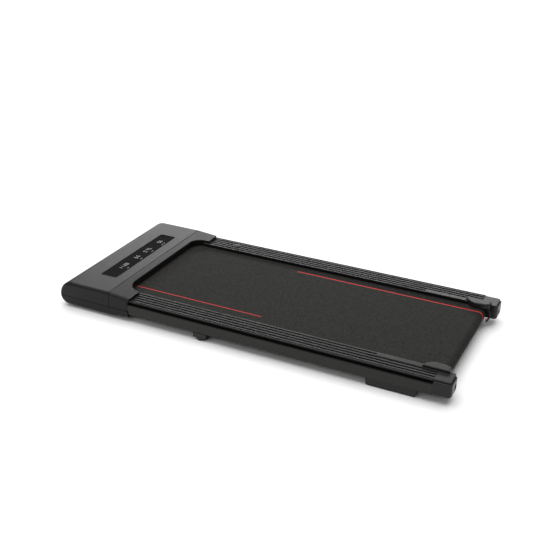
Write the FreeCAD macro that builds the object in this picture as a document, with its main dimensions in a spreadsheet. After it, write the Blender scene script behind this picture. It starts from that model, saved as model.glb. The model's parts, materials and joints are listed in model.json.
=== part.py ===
import FreeCAD, Part
import math
import os
from types import SimpleNamespace

import Sketcher

# A walking pad: a low motorised tread with a plastic head at one end.
# Frame: the origin is on the floor under the middle, +X runs from the head to the rear,
# +Y is the right of a user who faces the head, and +Z is up.

# Driving dimensions in millimetres, piece by piece.
SIZES = {
    # whole pad
    "overall_length": 1240.0,
    "frame_width": 525.0,
    "rail_top": 71.0,
    "belt_drop": 10.5,
    "cut_overrun": 5.0,
    "part_gap": 0.3,
    "running_gap": 0.05,
    # side members and cross members
    "member_width": 25.0,
    "member_height": 35.0,
    "member_wall": 2.0,
    "member_edge": 3.0,
    "member_nose_gap": 20.0,
    "cross_width": 40.0,
    "cross_height": 14.0,
    "cross_wall": 2.0,
    # running deck
    "deck_side_gap": 11.5,
    "deck_thickness": 12.0,
    "deck_end_gap": 30.0,
    "cushion_thickness": 3.7,
    "cushion_width": 60.0,
    "cushion_inset": 70.0,
    "deck_screw_radius": 2.5,
    "deck_screw_head_radius": 5.0,
    "deck_screw_head_height": 2.4,
    "deck_screw_belt_gap": 7.0,
    "deck_screw_tip": 1.5,
    # rollers, axles and running belt
    "roller_radius": 16.0,
    "roller_wall": 2.0,
    "roller_side_margin": 4.0,
    "belt_tuck": 2.5,
    "belt_thickness": 1.8,
    "front_axle_inset": 7.0,
    "rear_axle_inset": 48.2,
    "axle_radius": 6.0,
    "bearing_width": 8.0,
    "bearing_set_in": 4.0,
    "bearing_shield_depth": 0.8,
    "bearing_ring": 2.0,
    "bracket_thickness": 4.0,
    "bracket_margin": 2.0,
    "front_bracket_length": 60.0,
    "rear_bracket_overlap": 40.0,
    "rear_slot_travel": 8.0,
    "flange_thickness": 4.0,
    "flange_rear_gap": 18.0,
    "tension_bolt_inset": 11.5,
    "tension_bolt_radius": 3.0,
    "tension_bolt_tip": 3.0,
    "tension_head_radius": 5.0,
    "tension_head_height": 6.0,
    "hex_key_radius": 2.5,
    "hex_key_depth": 3.0,
    # drive pulleys and drive belt
    "pulley_width": 16.0,
    "pulley_flange": 2.0,
    "pulley_flange_height": 2.3,
    "pulley_bracket_gap": 6.5,
    "roller_pulley_radius": 22.7,
    "motor_pulley_radius": 8.0,
    "drive_belt_thickness": 1.8,
    "drive_belt_side_gap": 0.5,
    "pulley_tube_end": 2.0,
    # motor
    "motor_from_nose": 102.0,
    "motor_radius": 24.0,
    "motor_wall": 2.5,
    "motor_length": 104.0,
    "motor_bell_thickness": 8.0,
    "motor_pulley_gap": 11.0,
    "motor_shaft_radius": 4.0,
    "shaft_end": 2.0,
    "armature_radius": 18.0,
    "armature_end_gap": 10.0,
    "fan_radius": 20.0,
    "fan_width": 10.0,
    "fan_gap": 4.0,
    "fan_web": 2.0,
    "saddle_height": 4.0,
    "saddle_width": 44.0,
    "saddle_length": 12.0,
    "saddle_end_gap": 14.0,
    # motor tray
    "tray_thickness": 3.0,
    "tray_rear_gap": 34.0,
    "tray_from_nose": 50.0,
    "tray_flange_height": 40.0,
    # foot rails
    "rail_width": 63.0,
    "rail_height": 12.7,
    "rail_tuck": 17.0,
    "rib_width": 6.2,
    "rib_pitch": 12.5,
    "rib_draft": 0.7,
    "edge_rib_width": 3.0,
    "groove_depth": 3.0,
    "rail_web": 2.5,
    "rail_leg": 4.0,
    "rail_recess": 8.5,
    "rail_lip": 4.5,
    "deck_leg": 3.0,
    "deck_leg_inset": 2.0,
    "skirt_thickness": 3.0,
    "skirt_gap": 1.5,
    "strip_rear_gap": 96.0,
    "strip_length": 127.0,
    "strip_width": 17.0,
    "strip_thickness": 1.0,
    "strip_edge": 0.6,
    "plug_hood_gap": 94.0,
    "plug_inset": 32.5,
    "plug_radius": 13.0,
    "plug_rim": 1.0,
    "plug_height": 4.0,
    # rear caps
    "cap_length": 50.0,
    "cap_drop": 1.6,
    "cap_inner_step": 7.5,
    "cap_wall": 3.0,
    "cap_rear_wall": 6.0,
    "cap_corner": 10.0,
    "cap_bottom_margin": 1.0,
    "cap_edge": 2.5,
    "cap_lip_width": 5.0,
    "cap_lip_drop": 5.5,
    "axle_slot_margin": 2.0,
    "tool_hole_width": 12.0,
    "tool_hole_height": 18.0,
    # roller guards
    "guard_height": 7.0,
    "guard_length": 74.0,
    "guard_rear_gap": 21.0,
    "guard_outer_step": 15.0,
    "guard_overhang": 14.5,
    "guard_taper": 8.0,
    "guard_corner": 8.0,
    "guard_belt_gap": 2.0,
    "guard_edge": 3.0,
    "curl_gap": 9.4,
    "curl_thickness": 5.0,
    "curl_overhang": 9.5,
    "curl_cap_gap": 3.5,
    # feet
    "front_foot_from_nose": 495.0,
    "front_foot_length": 42.0,
    "front_pad_radius": 15.5,
    "front_pad_height": 10.2,
    "front_pad_edge": 2.5,
    "rear_foot_rear_gap": 95.0,
    "rear_foot_length": 140.0,
    "rear_foot_width": 24.0,
    "rear_foot_set_in": 4.0,
    "rear_foot_corner": 8.0,
    # head shell
    "head_top": 84.0,
    "head_bottom": 7.5,
    "parting_height": 36.0,
    "parting_gap": 0.5,
    "seam_to_lip": 25.0,
    "seam_gap": 1.2,
    "seam_edge": 0.8,
    "seam_groove": 0.9,
    "seam_lip_length": 9.0,
    "seam_lip_thickness": 2.5,
    "hood_length": 257.0,
    "hood_rake": 7.5,
    "hood_rear_drop": 6.0,
    "hood_edge": 2.0,
    "pan_rear_rise": 7.0,
    "shell_wall": 2.5,
    "skin_extra": 1.5,
    "head_edge": 9.0,
    "core_margin": 1.5,
    "member_gap": 0.5,
    "member_clear": 4.0,
    "notch_rail_step": 7.5,
    "notch_depth": 48.0,
    "notch_corner": 46.0,
    "curtain_gap": 2.0,
    "rail_cover_gap": 1.5,
    "pan_screw_radius": 2.0,
    "pan_screw_head_radius": 4.0,
    "pan_screw_head_height": 2.0,
    "pan_screw_inset": 20.0,
    # display
    "display_length": 57.0,
    "display_width": 345.0,
    "display_corner": 7.0,
    "lens_gap": 0.2,
    "lens_depth": 2.2,
    "lens_thickness": 2.5,
    "ledge_width": 6.0,
    "ledge_thickness": 3.0,
    "ledge_rim": 3.0,
    "board_boss_height": 4.0,
    "board_boss_radius": 3.0,
    "board_boss_inset": 5.0,
    "board_thickness": 1.6,
    "digit_length": 22.0,
    "digit_width": 42.0,
    "digit_height": 6.0,
    "eye_radius": 2.0,
    "eye_drop": 12.4,
    "eye_proud": 0.6,
    # inlet panel and power switch
    "panel_left": 182.0,
    "panel_width": 84.0,
    "panel_low": 6.0,
    "panel_height": 30.0,
    "panel_depth": 24.0,
    "panel_wall": 2.0,
    "inlet_inset": 30.0,
    "inlet_width": 27.0,
    "inlet_height": 19.0,
    "inlet_flange": 2.0,
    "inlet_flange_margin": 1.5,
    "inlet_body_depth": 20.0,
    "inlet_wall": 1.5,
    "inlet_back": 4.0,
    "inlet_pin_width": 2.0,
    "inlet_pin_height": 4.0,
    "inlet_pin_length": 13.0,
    "inlet_pin_pitch": 7.0,
    "switch_inset": 66.0,
    "switch_width": 15.0,
    "switch_height": 21.0,
    "switch_wall": 1.5,
    "switch_depth": 14.0,
    "rocker_side_gap": 0.3,
    "rocker_end_gap": 0.6,
    "rocker_front": 3.2,
    "rocker_dip": 1.6,
    "rocker_back": 2.0,
    "rocker_pin_radius": 1.2,
    "rocker_pin_length": 1.0,
    # transport wheels
    "wheel_from_nose": 26.0,
    "wheel_lift": 13.5,
    "wheel_radius": 17.0,
    "wheel_width": 14.0,
    "wheel_edge": 2.0,
    "wheel_hub_radius": 7.0,
    "wheel_web": 8.0,
    "wheel_rim": 4.0,
    "wheel_inset": 62.5,
    "wheel_pin_radius": 3.0,
    "wheel_side_gap": 1.5,
    "slot_gap": 3.0,
    "slot_bridge": 3.0,
    "ear_thickness": 3.0,
    "ear_front": 5.0,
    "ear_rear": 8.0,
    "ear_top": 7.0,
    # controller
    "controller_inset": 22.0,
    "controller_length": 150.0,
    "controller_width": 62.0,
    "controller_front_gap": 10.0,
    "standoff_radius": 3.5,
    "standoff_height": 8.0,
    "standoff_inset": 6.0,
    "sink_inset": 8.0,
    "sink_width": 30.0,
    "sink_length": 90.0,
    "sink_base": 4.0,
    "sink_height": 22.0,
    "fin_thickness": 2.0,
    "capacitor_radius": 9.0,
    "capacitor_height": 26.0,
    "relay_length": 20.0,
    "relay_width": 16.0,
    "relay_height": 15.0,
    # internal leads
    "lead_radius": 1.5,
    "lead_bend": 10.0,
    "lead_edge_gap": 6.0,
    "lead_jog": 26.0,
}

# Angles in degrees and counts.
CURL_TIP_ANGLE = -46.0
CURL_ROOT_ANGLE = 88.0
ROCKER_TILT = 8.0
RIB_COUNT = 5
FIN_COUNT = 7

# Places along a piece, as shares of its length.
CROSS_MEMBER_SHARES = (0.07, 0.29, 0.60, 0.905)
DIGIT_SHARES = (-0.36, -0.12, 0.12, 0.36)
DISPLAY_SHARE = 0.645
GUARD_PEAK_SHARE = 0.47

SIDES = (("left", -1), ("right", 1))

doc = FreeCAD.newDocument("walking_pad")
nodes = []


class Size:
    """A length that carries its number and the sheet expression that gives it."""

    def __init__(self, value, text):
        self.value = value
        self.text = text

    def __add__(self, other):
        other = as_size(other)
        return Size(self.value + other.value, f"({self.text} + {other.text})")

    def __sub__(self, other):
        other = as_size(other)
        return Size(self.value - other.value, f"({self.text} - {other.text})")

    def __mul__(self, other):
        other = as_size(other)
        return Size(self.value * other.value, f"({self.text} * {other.text})")

    def __truediv__(self, other):
        other = as_size(other)
        return Size(self.value / other.value, f"({self.text} / {other.text})")

    def __neg__(self):
        return Size(-self.value, f"(-1 * {self.text})")

    __radd__ = __add__
    __rmul__ = __mul__

    def leg(self, other):
        """The other leg of a right triangle with this hypotenuse."""
        square = self * self - other * other
        return Size(math.sqrt(square.value), f"sqrt({square.text})")

    def turned_by(self, degrees):
        """The two legs of this radius at an angle."""
        angle = math.radians(degrees)
        across = Size(self.value * math.cos(angle), f"({self.text} * cos({degrees} deg))")
        along = Size(self.value * math.sin(angle), f"({self.text} * sin({degrees} deg))")
        return across, along


def as_size(value):
    return value if isinstance(value, Size) else Size(float(value), repr(float(value)))


def make_sheet():
    sheet = doc.addObject("Spreadsheet::Sheet", "Sizes")
    for row, (name, value) in enumerate(SIZES.items(), 1):
        sheet.set(f"A{row}", name)
        sheet.set(f"B{row}", repr(value))
        sheet.setAlias(f"B{row}", name)
    doc.recompute()
    return SimpleNamespace(**{name: Size(value, f"Sizes.{name}") for name, value in SIZES.items()})


S = make_sheet()


# Helpers that draw, build and bind


def bind(obj, name, size):
    obj.setExpression(name, as_size(size).text)


def place(obj, x=0, y=0, z=0):
    for axis, value in zip("xyz", (x, y, z)):
        bind(obj, f"Placement.Base.{axis}", value)


def mirrored(side, low, high):
    """A span on the right side, or the same span on the left side."""
    return (low, high) if side > 0 else (-high, -low)


def keep(obj):
    nodes.append(obj)
    return obj


def new_body(label):
    return doc.addObject("PartDesign::Body", label)


def new_sketch(body, plane, offset=0):
    sketch = body.newObject("Sketcher::SketchObject", f"{body.Label}_sketch")
    role = f"{plane}_Plane"
    origin_plane = next(item for item in body.Origin.OriginFeatures if item.Role == role)
    sketch.AttachmentSupport = [(origin_plane, "")]
    sketch.MapMode = "FlatFace"
    bind(sketch, "AttachmentOffset.Base.z", offset)
    return sketch


def pin_point(sketch, geometry, point, u, v):
    for kind, size in (("DistanceX", as_size(u)), ("DistanceY", as_size(v))):
        index = sketch.addConstraint(Sketcher.Constraint(kind, -1, 1, geometry, point, size.value))
        sketch.setExpression(f"Constraints[{index}]", size.text)


def set_radius(sketch, geometry, radius):
    index = sketch.addConstraint(Sketcher.Constraint("Radius", geometry, radius.value))
    sketch.setExpression(f"Constraints[{index}]", radius.text)


def arc_between(start, end, radius, turn):
    """The shorter arc from start to end; turn is 1 for anticlockwise and -1 for clockwise."""
    chord = end - start
    height = math.sqrt(radius ** 2 - (chord.Length / 2) ** 2)
    normal = FreeCAD.Vector(-chord.y, chord.x, 0).normalize()
    centre = (start + end) / 2 + normal * (height * turn)
    first, last = (start, end) if turn > 0 else (end, start)
    angles = [math.atan2((p - centre).y, (p - centre).x) for p in (first, last)]
    return Part.ArcOfCircle(Part.Circle(centre, FreeCAD.Vector(0, 0, 1), radius), *angles)


def draw_outline(sketch, points, closed=True):
    """Lines and arcs through points; a point of four values is reached by an arc (radius, turn)."""
    places = [FreeCAD.Vector(as_size(p[0]).value, as_size(p[1]).value, 0) for p in points]
    reached = list(range(len(points))) if closed else list(range(1, len(points)))
    ends = []
    for index in reached:
        point = points[index]
        before = places[index - 1]
        if len(point) == 4:
            line = arc_between(before, places[index], point[2].value, point[3])
            turn = point[3]
        else:
            line = Part.LineSegment(before, places[index])
            turn = 1
        geometry = sketch.addGeometry(line, False)
        ends.append((geometry, 1, 2) if turn > 0 else (geometry, 2, 1))
    for number, (index, (geometry, _, last)) in enumerate(zip(reached, ends), 1):
        if closed or number < len(ends):
            following, first, _ = ends[number % len(ends)]
            sketch.addConstraint(Sketcher.Constraint("Coincident", geometry, last, following, first))
        pin_point(sketch, geometry, last, *points[index][:2])
        if len(points[index]) == 4:
            set_radius(sketch, geometry, points[index][2])
    if not closed:
        pin_point(sketch, ends[0][0], ends[0][1], *points[0][:2])


def rectangle(u, v):
    return [(u[0], v[0]), (u[1], v[0]), (u[1], v[1]), (u[0], v[1])]


def rounded_rectangle(u, v, radius):
    return [
        (u[1] - radius, v[0]), (u[1], v[0] + radius, radius, 1),
        (u[1], v[1] - radius), (u[1] - radius, v[1], radius, 1),
        (u[0] + radius, v[1]), (u[0], v[1] - radius, radius, 1),
        (u[0], v[0] + radius), (u[0] + radius, v[0], radius, 1),
    ]


def draw_circle(sketch, u, v, radius):
    centre = FreeCAD.Vector(as_size(u).value, as_size(v).value, 0)
    circle = Part.Circle(centre, FreeCAD.Vector(0, 0, 1), radius.value)
    geometry = sketch.addGeometry(circle, False)
    pin_point(sketch, geometry, 3, u, v)
    set_radius(sketch, geometry, radius)


def draw_belt_loop(sketch, first, second):
    """A closed loop round two circles (u, v, radius), with tangent straight runs."""
    centres = [FreeCAD.Vector(c[0].value, c[1].value, 0) for c in (first, second)]
    radii = [c[2].value for c in (first, second)]
    span = centres[1] - centres[0]
    lean = math.acos((radii[0] - radii[1]) / span.Length)
    upper = math.atan2(span.y, span.x) + lean
    lower = math.atan2(span.y, span.x) - lean

    def rim(index, angle):
        return centres[index] + FreeCAD.Vector(math.cos(angle), math.sin(angle), 0) * radii[index]

    circles = [Part.Circle(c, FreeCAD.Vector(0, 0, 1), r) for c, r in zip(centres, radii)]
    geometry = sketch.addGeometry([
        Part.ArcOfCircle(circles[0], upper, lower + 2 * math.pi),
        Part.LineSegment(rim(0, lower), rim(1, lower)),
        Part.ArcOfCircle(circles[1], lower, upper),
        Part.LineSegment(rim(1, upper), rim(0, upper)),
    ], False)
    for index, line in enumerate(geometry):
        sketch.addConstraint(Sketcher.Constraint("Tangent", line, 2, geometry[(index + 1) % 4], 1))
    for line, (u, v, radius) in ((geometry[0], first), (geometry[2], second)):
        pin_point(sketch, line, 3, u, v)
        set_radius(sketch, line, radius)


def extrude(body, kind, plane, span, *outlines):
    """A Pad or Pocket of outlines between two places along the plane's axis."""
    low, high = (as_size(end) for end in span)
    sketch = new_sketch(body, plane, -high if plane == "XZ" else low)
    for outline in outlines:
        if callable(outline):
            outline(sketch)
        else:
            draw_outline(sketch, outline)
    step = body.newObject(f"PartDesign::{kind}", f"{body.Label}_{kind.lower()}")
    step.Profile = sketch
    step.Reversed = kind == "Pocket"
    bind(step, "Length", high - low)
    body.Tip = step
    return step


def prism(label, plane, span, *outlines):
    body = new_body(label)
    extrude(body, "Pad", plane, span, *outlines)
    return body


def cut(body, plane, span, *outlines):
    return extrude(body, "Pocket", plane, span, *outlines)


def add(body, plane, span, *outlines):
    return extrude(body, "Pad", plane, span, *outlines)


def round_edges(body, radius, chosen):
    doc.recompute()
    base = body.Tip
    names = [f"Edge{index}" for index, edge in enumerate(base.Shape.Edges, 1) if chosen(edge.BoundBox)]
    step = body.newObject("PartDesign::Fillet", f"{body.Label}_fillet")
    step.Base = (base, names)
    bind(step, "Radius", radius)
    body.Tip = step


def turned(label, axis, points):
    """A turned piece about the body's own X, Y or Z axis, from (along, radius) points."""
    body = new_body(label)
    sketch = new_sketch(body, "XZ" if axis == "Z" else "XY")
    if axis == "X":
        outline = points
    else:
        outline = [(p[1], p[0], *p[2:]) for p in points]
    draw_outline(sketch, outline)
    step = body.newObject("PartDesign::Revolution", f"{label}_revolution")
    step.Profile = sketch
    step.ReferenceAxis = (sketch, ["H_Axis" if axis == "X" else "V_Axis"])
    body.Tip = step
    return body


def piped(label, path_plane, path_place, path, end_plane, end_place, centre):
    """A round lead of one radius along a path; its end circle lies on end_plane at end_place."""
    body = new_body(label)
    circle = new_sketch(body, end_plane, end_place)
    draw_circle(circle, *centre, S.lead_radius)
    spine = new_sketch(body, path_plane, path_place)
    draw_outline(spine, path, closed=False)
    step = body.newObject("PartDesign::AdditivePipe", f"{label}_pipe")
    step.Profile = circle
    step.Spine = spine
    body.Tip = step
    return body


def ring(span, inner, outer):
    return [(span[0], inner), (span[0], outer), (span[1], outer), (span[1], inner)]


def box(label, x, y, z):
    block = doc.addObject("Part::Box", label)
    for name, span in (("Length", x), ("Width", y), ("Height", z)):
        bind(block, name, span[1] - span[0])
    place(block, x[0], y[0], z[0])
    return block


def rod(label, axis, radius, span, across):
    """A plain cylinder along an axis; across holds its two other places in axis order."""
    cylinder = doc.addObject("Part::Cylinder", label)
    direction = FreeCAD.Vector(*(float(axis == name) for name in "XYZ"))
    cylinder.Placement = FreeCAD.Placement(
        FreeCAD.Vector(), FreeCAD.Rotation(FreeCAD.Vector(0, 0, 1), direction))
    bind(cylinder, "Radius", radius)
    bind(cylinder, "Height", span[1] - span[0])
    places = list(across)
    places.insert("XYZ".index(axis), span[0])
    place(cylinder, *places)
    return cylinder


def boolean(label, kind, base, tool):
    result = doc.addObject(f"Part::{kind}", label)
    result.Base = base
    result.Tool = tool
    return result


def group(label, members):
    compound = doc.addObject("Part::Compound", label)
    compound.Links = members
    return keep(compound)


def screw(label, axis, head_span, head_radius, shank_span, shank_radius, across):
    head = rod(f"{label}_head", axis, head_radius, head_span, across)
    shank = rod(f"{label}_shank", axis, shank_radius, shank_span, across)
    return boolean(label, "Fuse", head, shank)


def around(middle, width):
    return (middle - width / 2, middle + width / 2)


def spread(half):
    return (-half, half)


# Places shared between pieces

half_frame = S.frame_width / 2
member_inner = half_frame - S.member_width
nose_x = -S.overall_length / 2
rear_x = S.overall_length / 2
hood_rear_x = nose_x + S.hood_length
side_rear_x = hood_rear_x - S.hood_rake
lip_x = hood_rear_x - S.notch_depth
seam_x = lip_x - S.seam_to_lip
cover_rear_x = seam_x - S.seam_gap / 2
hood_front_x = seam_x + S.seam_gap / 2
cap_front_x = rear_x - S.cap_length
member_front_x = nose_x + S.member_nose_gap

member_top = S.rail_top - S.rail_height
member_bottom = member_top - S.member_height
belt_top = S.rail_top - S.belt_drop
deck_top = belt_top - S.belt_thickness
deck_bottom = deck_top - S.deck_thickness
cross_top = deck_bottom - S.cushion_thickness
axle_z = deck_top - S.part_gap - S.roller_radius
front_axle_x = lip_x - S.front_axle_inset
rear_axle_x = rear_x - S.rear_axle_inset
rail_inner = half_frame - S.rail_width
rail_front_x = hood_rear_x - S.rail_tuck
belt_half = rail_inner + S.belt_tuck
deck_half = member_inner - S.deck_side_gap
deck_screw_y = belt_half + S.deck_screw_belt_gap + S.deck_screw_radius
roller_half = belt_half + S.roller_side_margin
deck_span = (front_axle_x + S.deck_end_gap, rear_axle_x - S.deck_end_gap)
deck_length = deck_span[1] - deck_span[0]
cross_places = [deck_span[0] + deck_length * share for share in CROSS_MEMBER_SHARES]

bolt_y = member_inner - S.tension_bolt_inset
flange_rear_x = rear_x - S.flange_rear_gap
flange_span = (flange_rear_x - S.flange_thickness, flange_rear_x)

pulley_high = member_inner - S.bracket_thickness - S.pulley_bracket_gap
pulley_span = (pulley_high - S.pulley_width, pulley_high)
tube_high = pulley_high + S.pulley_tube_end

head_half = half_frame + S.member_gap + S.shell_wall
bay_half = half_frame + S.member_gap
core_half = head_half - S.head_edge - S.core_margin
cover_bottom = S.parting_height + S.parting_gap
upper_nose = S.head_top - cover_bottom
lower_nose = S.parting_height - S.head_bottom
pan_floor = S.head_bottom + S.shell_wall
tray_top = pan_floor + S.tray_thickness
tray_span = (nose_x + S.tray_from_nose, front_axle_x - S.tray_rear_gap)

motor_x = nose_x + S.motor_from_nose
motor_z = tray_top + S.saddle_height + S.motor_radius

wheel_x = nose_x + S.wheel_from_nose
wheel_z = S.head_bottom + S.wheel_lift
wheel_y = half_frame - S.wheel_inset

display_x = nose_x + (seam_x - nose_x) * DISPLAY_SHARE
lens_bottom = S.head_top - S.lens_depth - S.lens_thickness
ledge_bottom = lens_bottom - S.ledge_thickness
board_top = ledge_bottom - S.board_boss_height

panel_x = nose_x + S.panel_depth
panel_face_x = panel_x - S.panel_wall
panel_y = (-S.panel_left, -S.panel_left + S.panel_width)
panel_z = (cover_bottom + S.panel_low, cover_bottom + S.panel_low + S.panel_height)
panel_middle = (panel_z[0] + panel_z[1]) / 2
inlet_y = panel_y[0] + S.inlet_inset
switch_y = panel_y[0] + S.switch_inset
inlet_front_x = panel_face_x - S.inlet_flange
rocker_x = inlet_front_x + S.rocker_front / 2


# Frame


def make_side_member(hand, side):
    y = mirrored(side, member_inner, half_frame)
    z = (member_bottom, member_top)
    outer = rounded_rectangle(y, z, S.member_edge)
    inner = rectangle((y[0] + S.member_wall, y[1] - S.member_wall),
                      (z[0] + S.member_wall, z[1] - S.member_wall))
    keep(prism(f"{hand}_side_member", "YZ", (member_front_x, cap_front_x), outer, inner))


def make_cross_members():
    z = (cross_top - S.cross_height, cross_top)
    members = []
    for index, x in enumerate(cross_places):
        width = around(x, S.cross_width)
        outer = rectangle(width, z)
        inner = rectangle((width[0] + S.cross_wall, width[1] - S.cross_wall),
                          (z[0] + S.cross_wall, z[1] - S.cross_wall))
        member = prism(f"cross_member_{index}", "XZ", spread(member_inner), outer, inner)
        cut(member, "XY", (cross_top - S.cross_wall - S.cut_overrun, cross_top + S.cut_overrun),
            *deck_screw_holes([x]))
        members.append(member)
    group("cross_members", members)


def deck_screw_holes(places):
    radius = S.deck_screw_radius + S.running_gap
    return [lambda sketch, x=x, side=side: draw_circle(sketch, x, deck_screw_y * side, radius)
            for x in places for _, side in SIDES]


def make_deck():
    outline = rectangle(deck_span, spread(deck_half))
    deck = prism("running_deck", "XY", (deck_bottom, deck_top), outline)
    cut(deck, "XY", (deck_bottom - S.cut_overrun, deck_top + S.cut_overrun),
        *deck_screw_holes(cross_places))
    keep(deck)


def make_deck_cushions():
    middle = deck_half - S.cushion_inset
    cushions = []
    for index, x in enumerate(cross_places):
        for hand, side in SIDES:
            cushions.append(box(f"{hand}_cushion_{index}", around(x, S.cross_width),
                                around(middle * side, S.cushion_width), (cross_top, deck_bottom)))
    group("deck_cushions", cushions)


def make_deck_screws():
    tip = cross_top - S.cross_wall - S.deck_screw_tip
    screws = []
    for index, x in enumerate(cross_places):
        for hand, side in SIDES:
            screws.append(screw(
                f"{hand}_deck_screw_{index}", "Z",
                (deck_top, deck_top + S.deck_screw_head_height), S.deck_screw_head_radius,
                (tip, deck_top), S.deck_screw_radius, (x, deck_screw_y * side)))
    group("deck_screws", screws)


def make_motor_tray():
    flange_top = tray_top + S.tray_flange_height
    web = member_inner - S.tray_thickness
    outline = [(-member_inner, pan_floor), (member_inner, pan_floor), (member_inner, flange_top),
               (web, flange_top), (web, tray_top), (-web, tray_top), (-web, flange_top),
               (-member_inner, flange_top)]
    tray = prism("motor_tray", "YZ", tray_span, outline)
    cut(tray, "XY", (pan_floor - S.cut_overrun, tray_top + S.cut_overrun), *pan_screw_holes())
    keep(tray)


# Rollers, axles and belt


def make_front_axle_brackets():
    x = around(front_axle_x, S.front_bracket_length)
    z = (member_bottom + S.bracket_margin, member_top - S.bracket_margin)
    hole = S.axle_radius + S.running_gap
    plates = []
    for hand, side in SIDES:
        y = mirrored(side, member_inner - S.bracket_thickness, member_inner)
        plates.append(prism(f"{hand}_front_axle_plate", "XZ", y, rectangle(x, z),
                            lambda sketch: draw_circle(sketch, front_axle_x, axle_z, hole)))
    group("front_axle_brackets", plates)


def make_rear_axle_brackets():
    x = (cap_front_x - S.rear_bracket_overlap, flange_rear_x)
    z = (member_bottom + S.bracket_margin, member_top - S.bracket_margin)
    slot = S.axle_radius + S.running_gap
    slot_x = around(rear_axle_x, 2 * (slot + S.rear_slot_travel))
    hole = S.tension_bolt_radius + S.part_gap
    reach = bolt_y - S.tension_head_radius - S.bracket_margin
    plates = []
    for hand, side in SIDES:
        plate = prism(f"{hand}_rear_axle_plate", "XZ",
                      mirrored(side, member_inner - S.bracket_thickness, member_inner), rectangle(x, z))
        add(plate, "XZ", mirrored(side, reach, member_inner), rectangle(flange_span, z))
        cut(plate, "XZ", mirrored(side, member_inner - S.bracket_thickness - S.cut_overrun,
                                  member_inner + S.cut_overrun),
            rectangle(slot_x, around(axle_z, 2 * slot)))
        cut(plate, "YZ", (flange_span[0] - S.cut_overrun, flange_span[1] + S.cut_overrun),
            lambda sketch, side=side: draw_circle(sketch, bolt_y * side, axle_z, hole))
        plates.append(plate)
    group("rear_axle_brackets", plates)


def make_axles():
    keep(rod("front_axle", "Y", S.axle_radius, spread(member_inner), (front_axle_x, axle_z)))
    axle = turned("rear_axle", "Y", [(-member_inner, 0), (-member_inner, S.axle_radius),
                                     (member_inner, S.axle_radius), (member_inner, 0)])
    hole = S.tension_bolt_radius + S.part_gap
    cut(axle, "YZ", spread(S.axle_radius + S.cut_overrun),
        *[lambda sketch, side=side: draw_circle(sketch, bolt_y * side, 0, hole) for _, side in SIDES])
    place(axle, rear_axle_x, 0, axle_z)
    keep(axle)


def make_roller(name, x, y_span):
    bore = S.roller_radius - S.roller_wall
    tube = turned(f"{name}_roller_tube", "Y", ring(y_span, bore, S.roller_radius))
    place(tube, x, 0, axle_z)
    keep(tube)
    starts = (y_span[0] + S.bearing_set_in, y_span[1] - S.bearing_set_in - S.bearing_width)
    bearings = []
    for index, start in enumerate(starts):
        bearing = make_bearing(f"{name}_bearing_{index}", (start, start + S.bearing_width), bore)
        place(bearing, x, 0, axle_z)
        bearings.append(bearing)
    group(f"{name}_roller_bearings", bearings)


def make_bearing(label, span, bore):
    inner = S.axle_radius + S.running_gap
    outer = bore - S.running_gap
    inner_ring = inner + S.bearing_ring
    outer_ring = outer - S.bearing_ring
    low, high = span
    low_shield = low + S.bearing_shield_depth
    high_shield = high - S.bearing_shield_depth
    return turned(label, "Y", [
        (low, inner), (low, inner_ring), (low_shield, inner_ring), (low_shield, outer_ring),
        (low, outer_ring), (low, outer), (high, outer), (high, outer_ring), (high_shield, outer_ring),
        (high_shield, inner_ring), (high, inner_ring), (high, inner)])


def make_tension_bolt(hand, side):
    tip = rear_axle_x - S.axle_radius - S.tension_bolt_tip
    seat = flange_rear_x + S.part_gap
    end = seat + S.tension_head_height
    socket = end - S.hex_key_depth
    bolt = turned(f"{hand}_tension_bolt", "X", [
        (tip, 0), (tip, S.tension_bolt_radius), (seat, S.tension_bolt_radius),
        (seat, S.tension_head_radius), (end, S.tension_head_radius), (end, S.hex_key_radius),
        (socket, S.hex_key_radius), (socket, 0)])
    place(bolt, 0, bolt_y * side, axle_z)
    keep(bolt)


def make_running_belt():
    inner = S.roller_radius + S.part_gap
    outer = inner + S.belt_thickness
    loops = [lambda sketch, radius=radius: draw_belt_loop(
        sketch, (front_axle_x, axle_z, radius), (rear_axle_x, axle_z, radius)) for radius in (outer, inner)]
    keep(prism("running_belt", "XZ", spread(belt_half), *loops))


# Drive


def make_pulley(label, drum, bore):
    rim = drum + S.pulley_flange_height
    low, high = pulley_span
    low_wall = low + S.pulley_flange
    high_wall = high - S.pulley_flange
    return turned(label, "Y", [(low, bore), (low, rim), (low_wall, rim), (low_wall, drum),
                               (high_wall, drum), (high_wall, rim), (high, rim), (high, bore)])


def make_pulleys():
    pulley = make_pulley("roller_pulley", S.roller_pulley_radius, S.roller_radius + S.running_gap)
    place(pulley, front_axle_x, 0, axle_z)
    keep(pulley)
    pulley = make_pulley("motor_pulley", S.motor_pulley_radius, S.motor_shaft_radius + S.running_gap)
    place(pulley, motor_x, 0, motor_z)
    keep(pulley)


def make_drive_belt():
    inset = S.pulley_flange + S.drive_belt_side_gap
    span = (pulley_span[0] + inset, pulley_span[1] - inset)
    loops = []
    for extra in (S.part_gap + S.drive_belt_thickness, S.part_gap):
        loops.append(lambda sketch, extra=extra: draw_belt_loop(
            sketch, (motor_x, motor_z, S.motor_pulley_radius + extra),
            (front_axle_x, axle_z, S.roller_pulley_radius + extra)))
    keep(prism("drive_belt", "XZ", span, *loops))


bell_high = pulley_span[0] - S.motor_pulley_gap
can_span = (bell_high - S.motor_bell_thickness - S.motor_length, bell_high - S.motor_bell_thickness)
bell_low = can_span[0] - S.motor_bell_thickness
fan_span = (bell_low - S.fan_gap - S.fan_width, bell_low - S.fan_gap)


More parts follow.
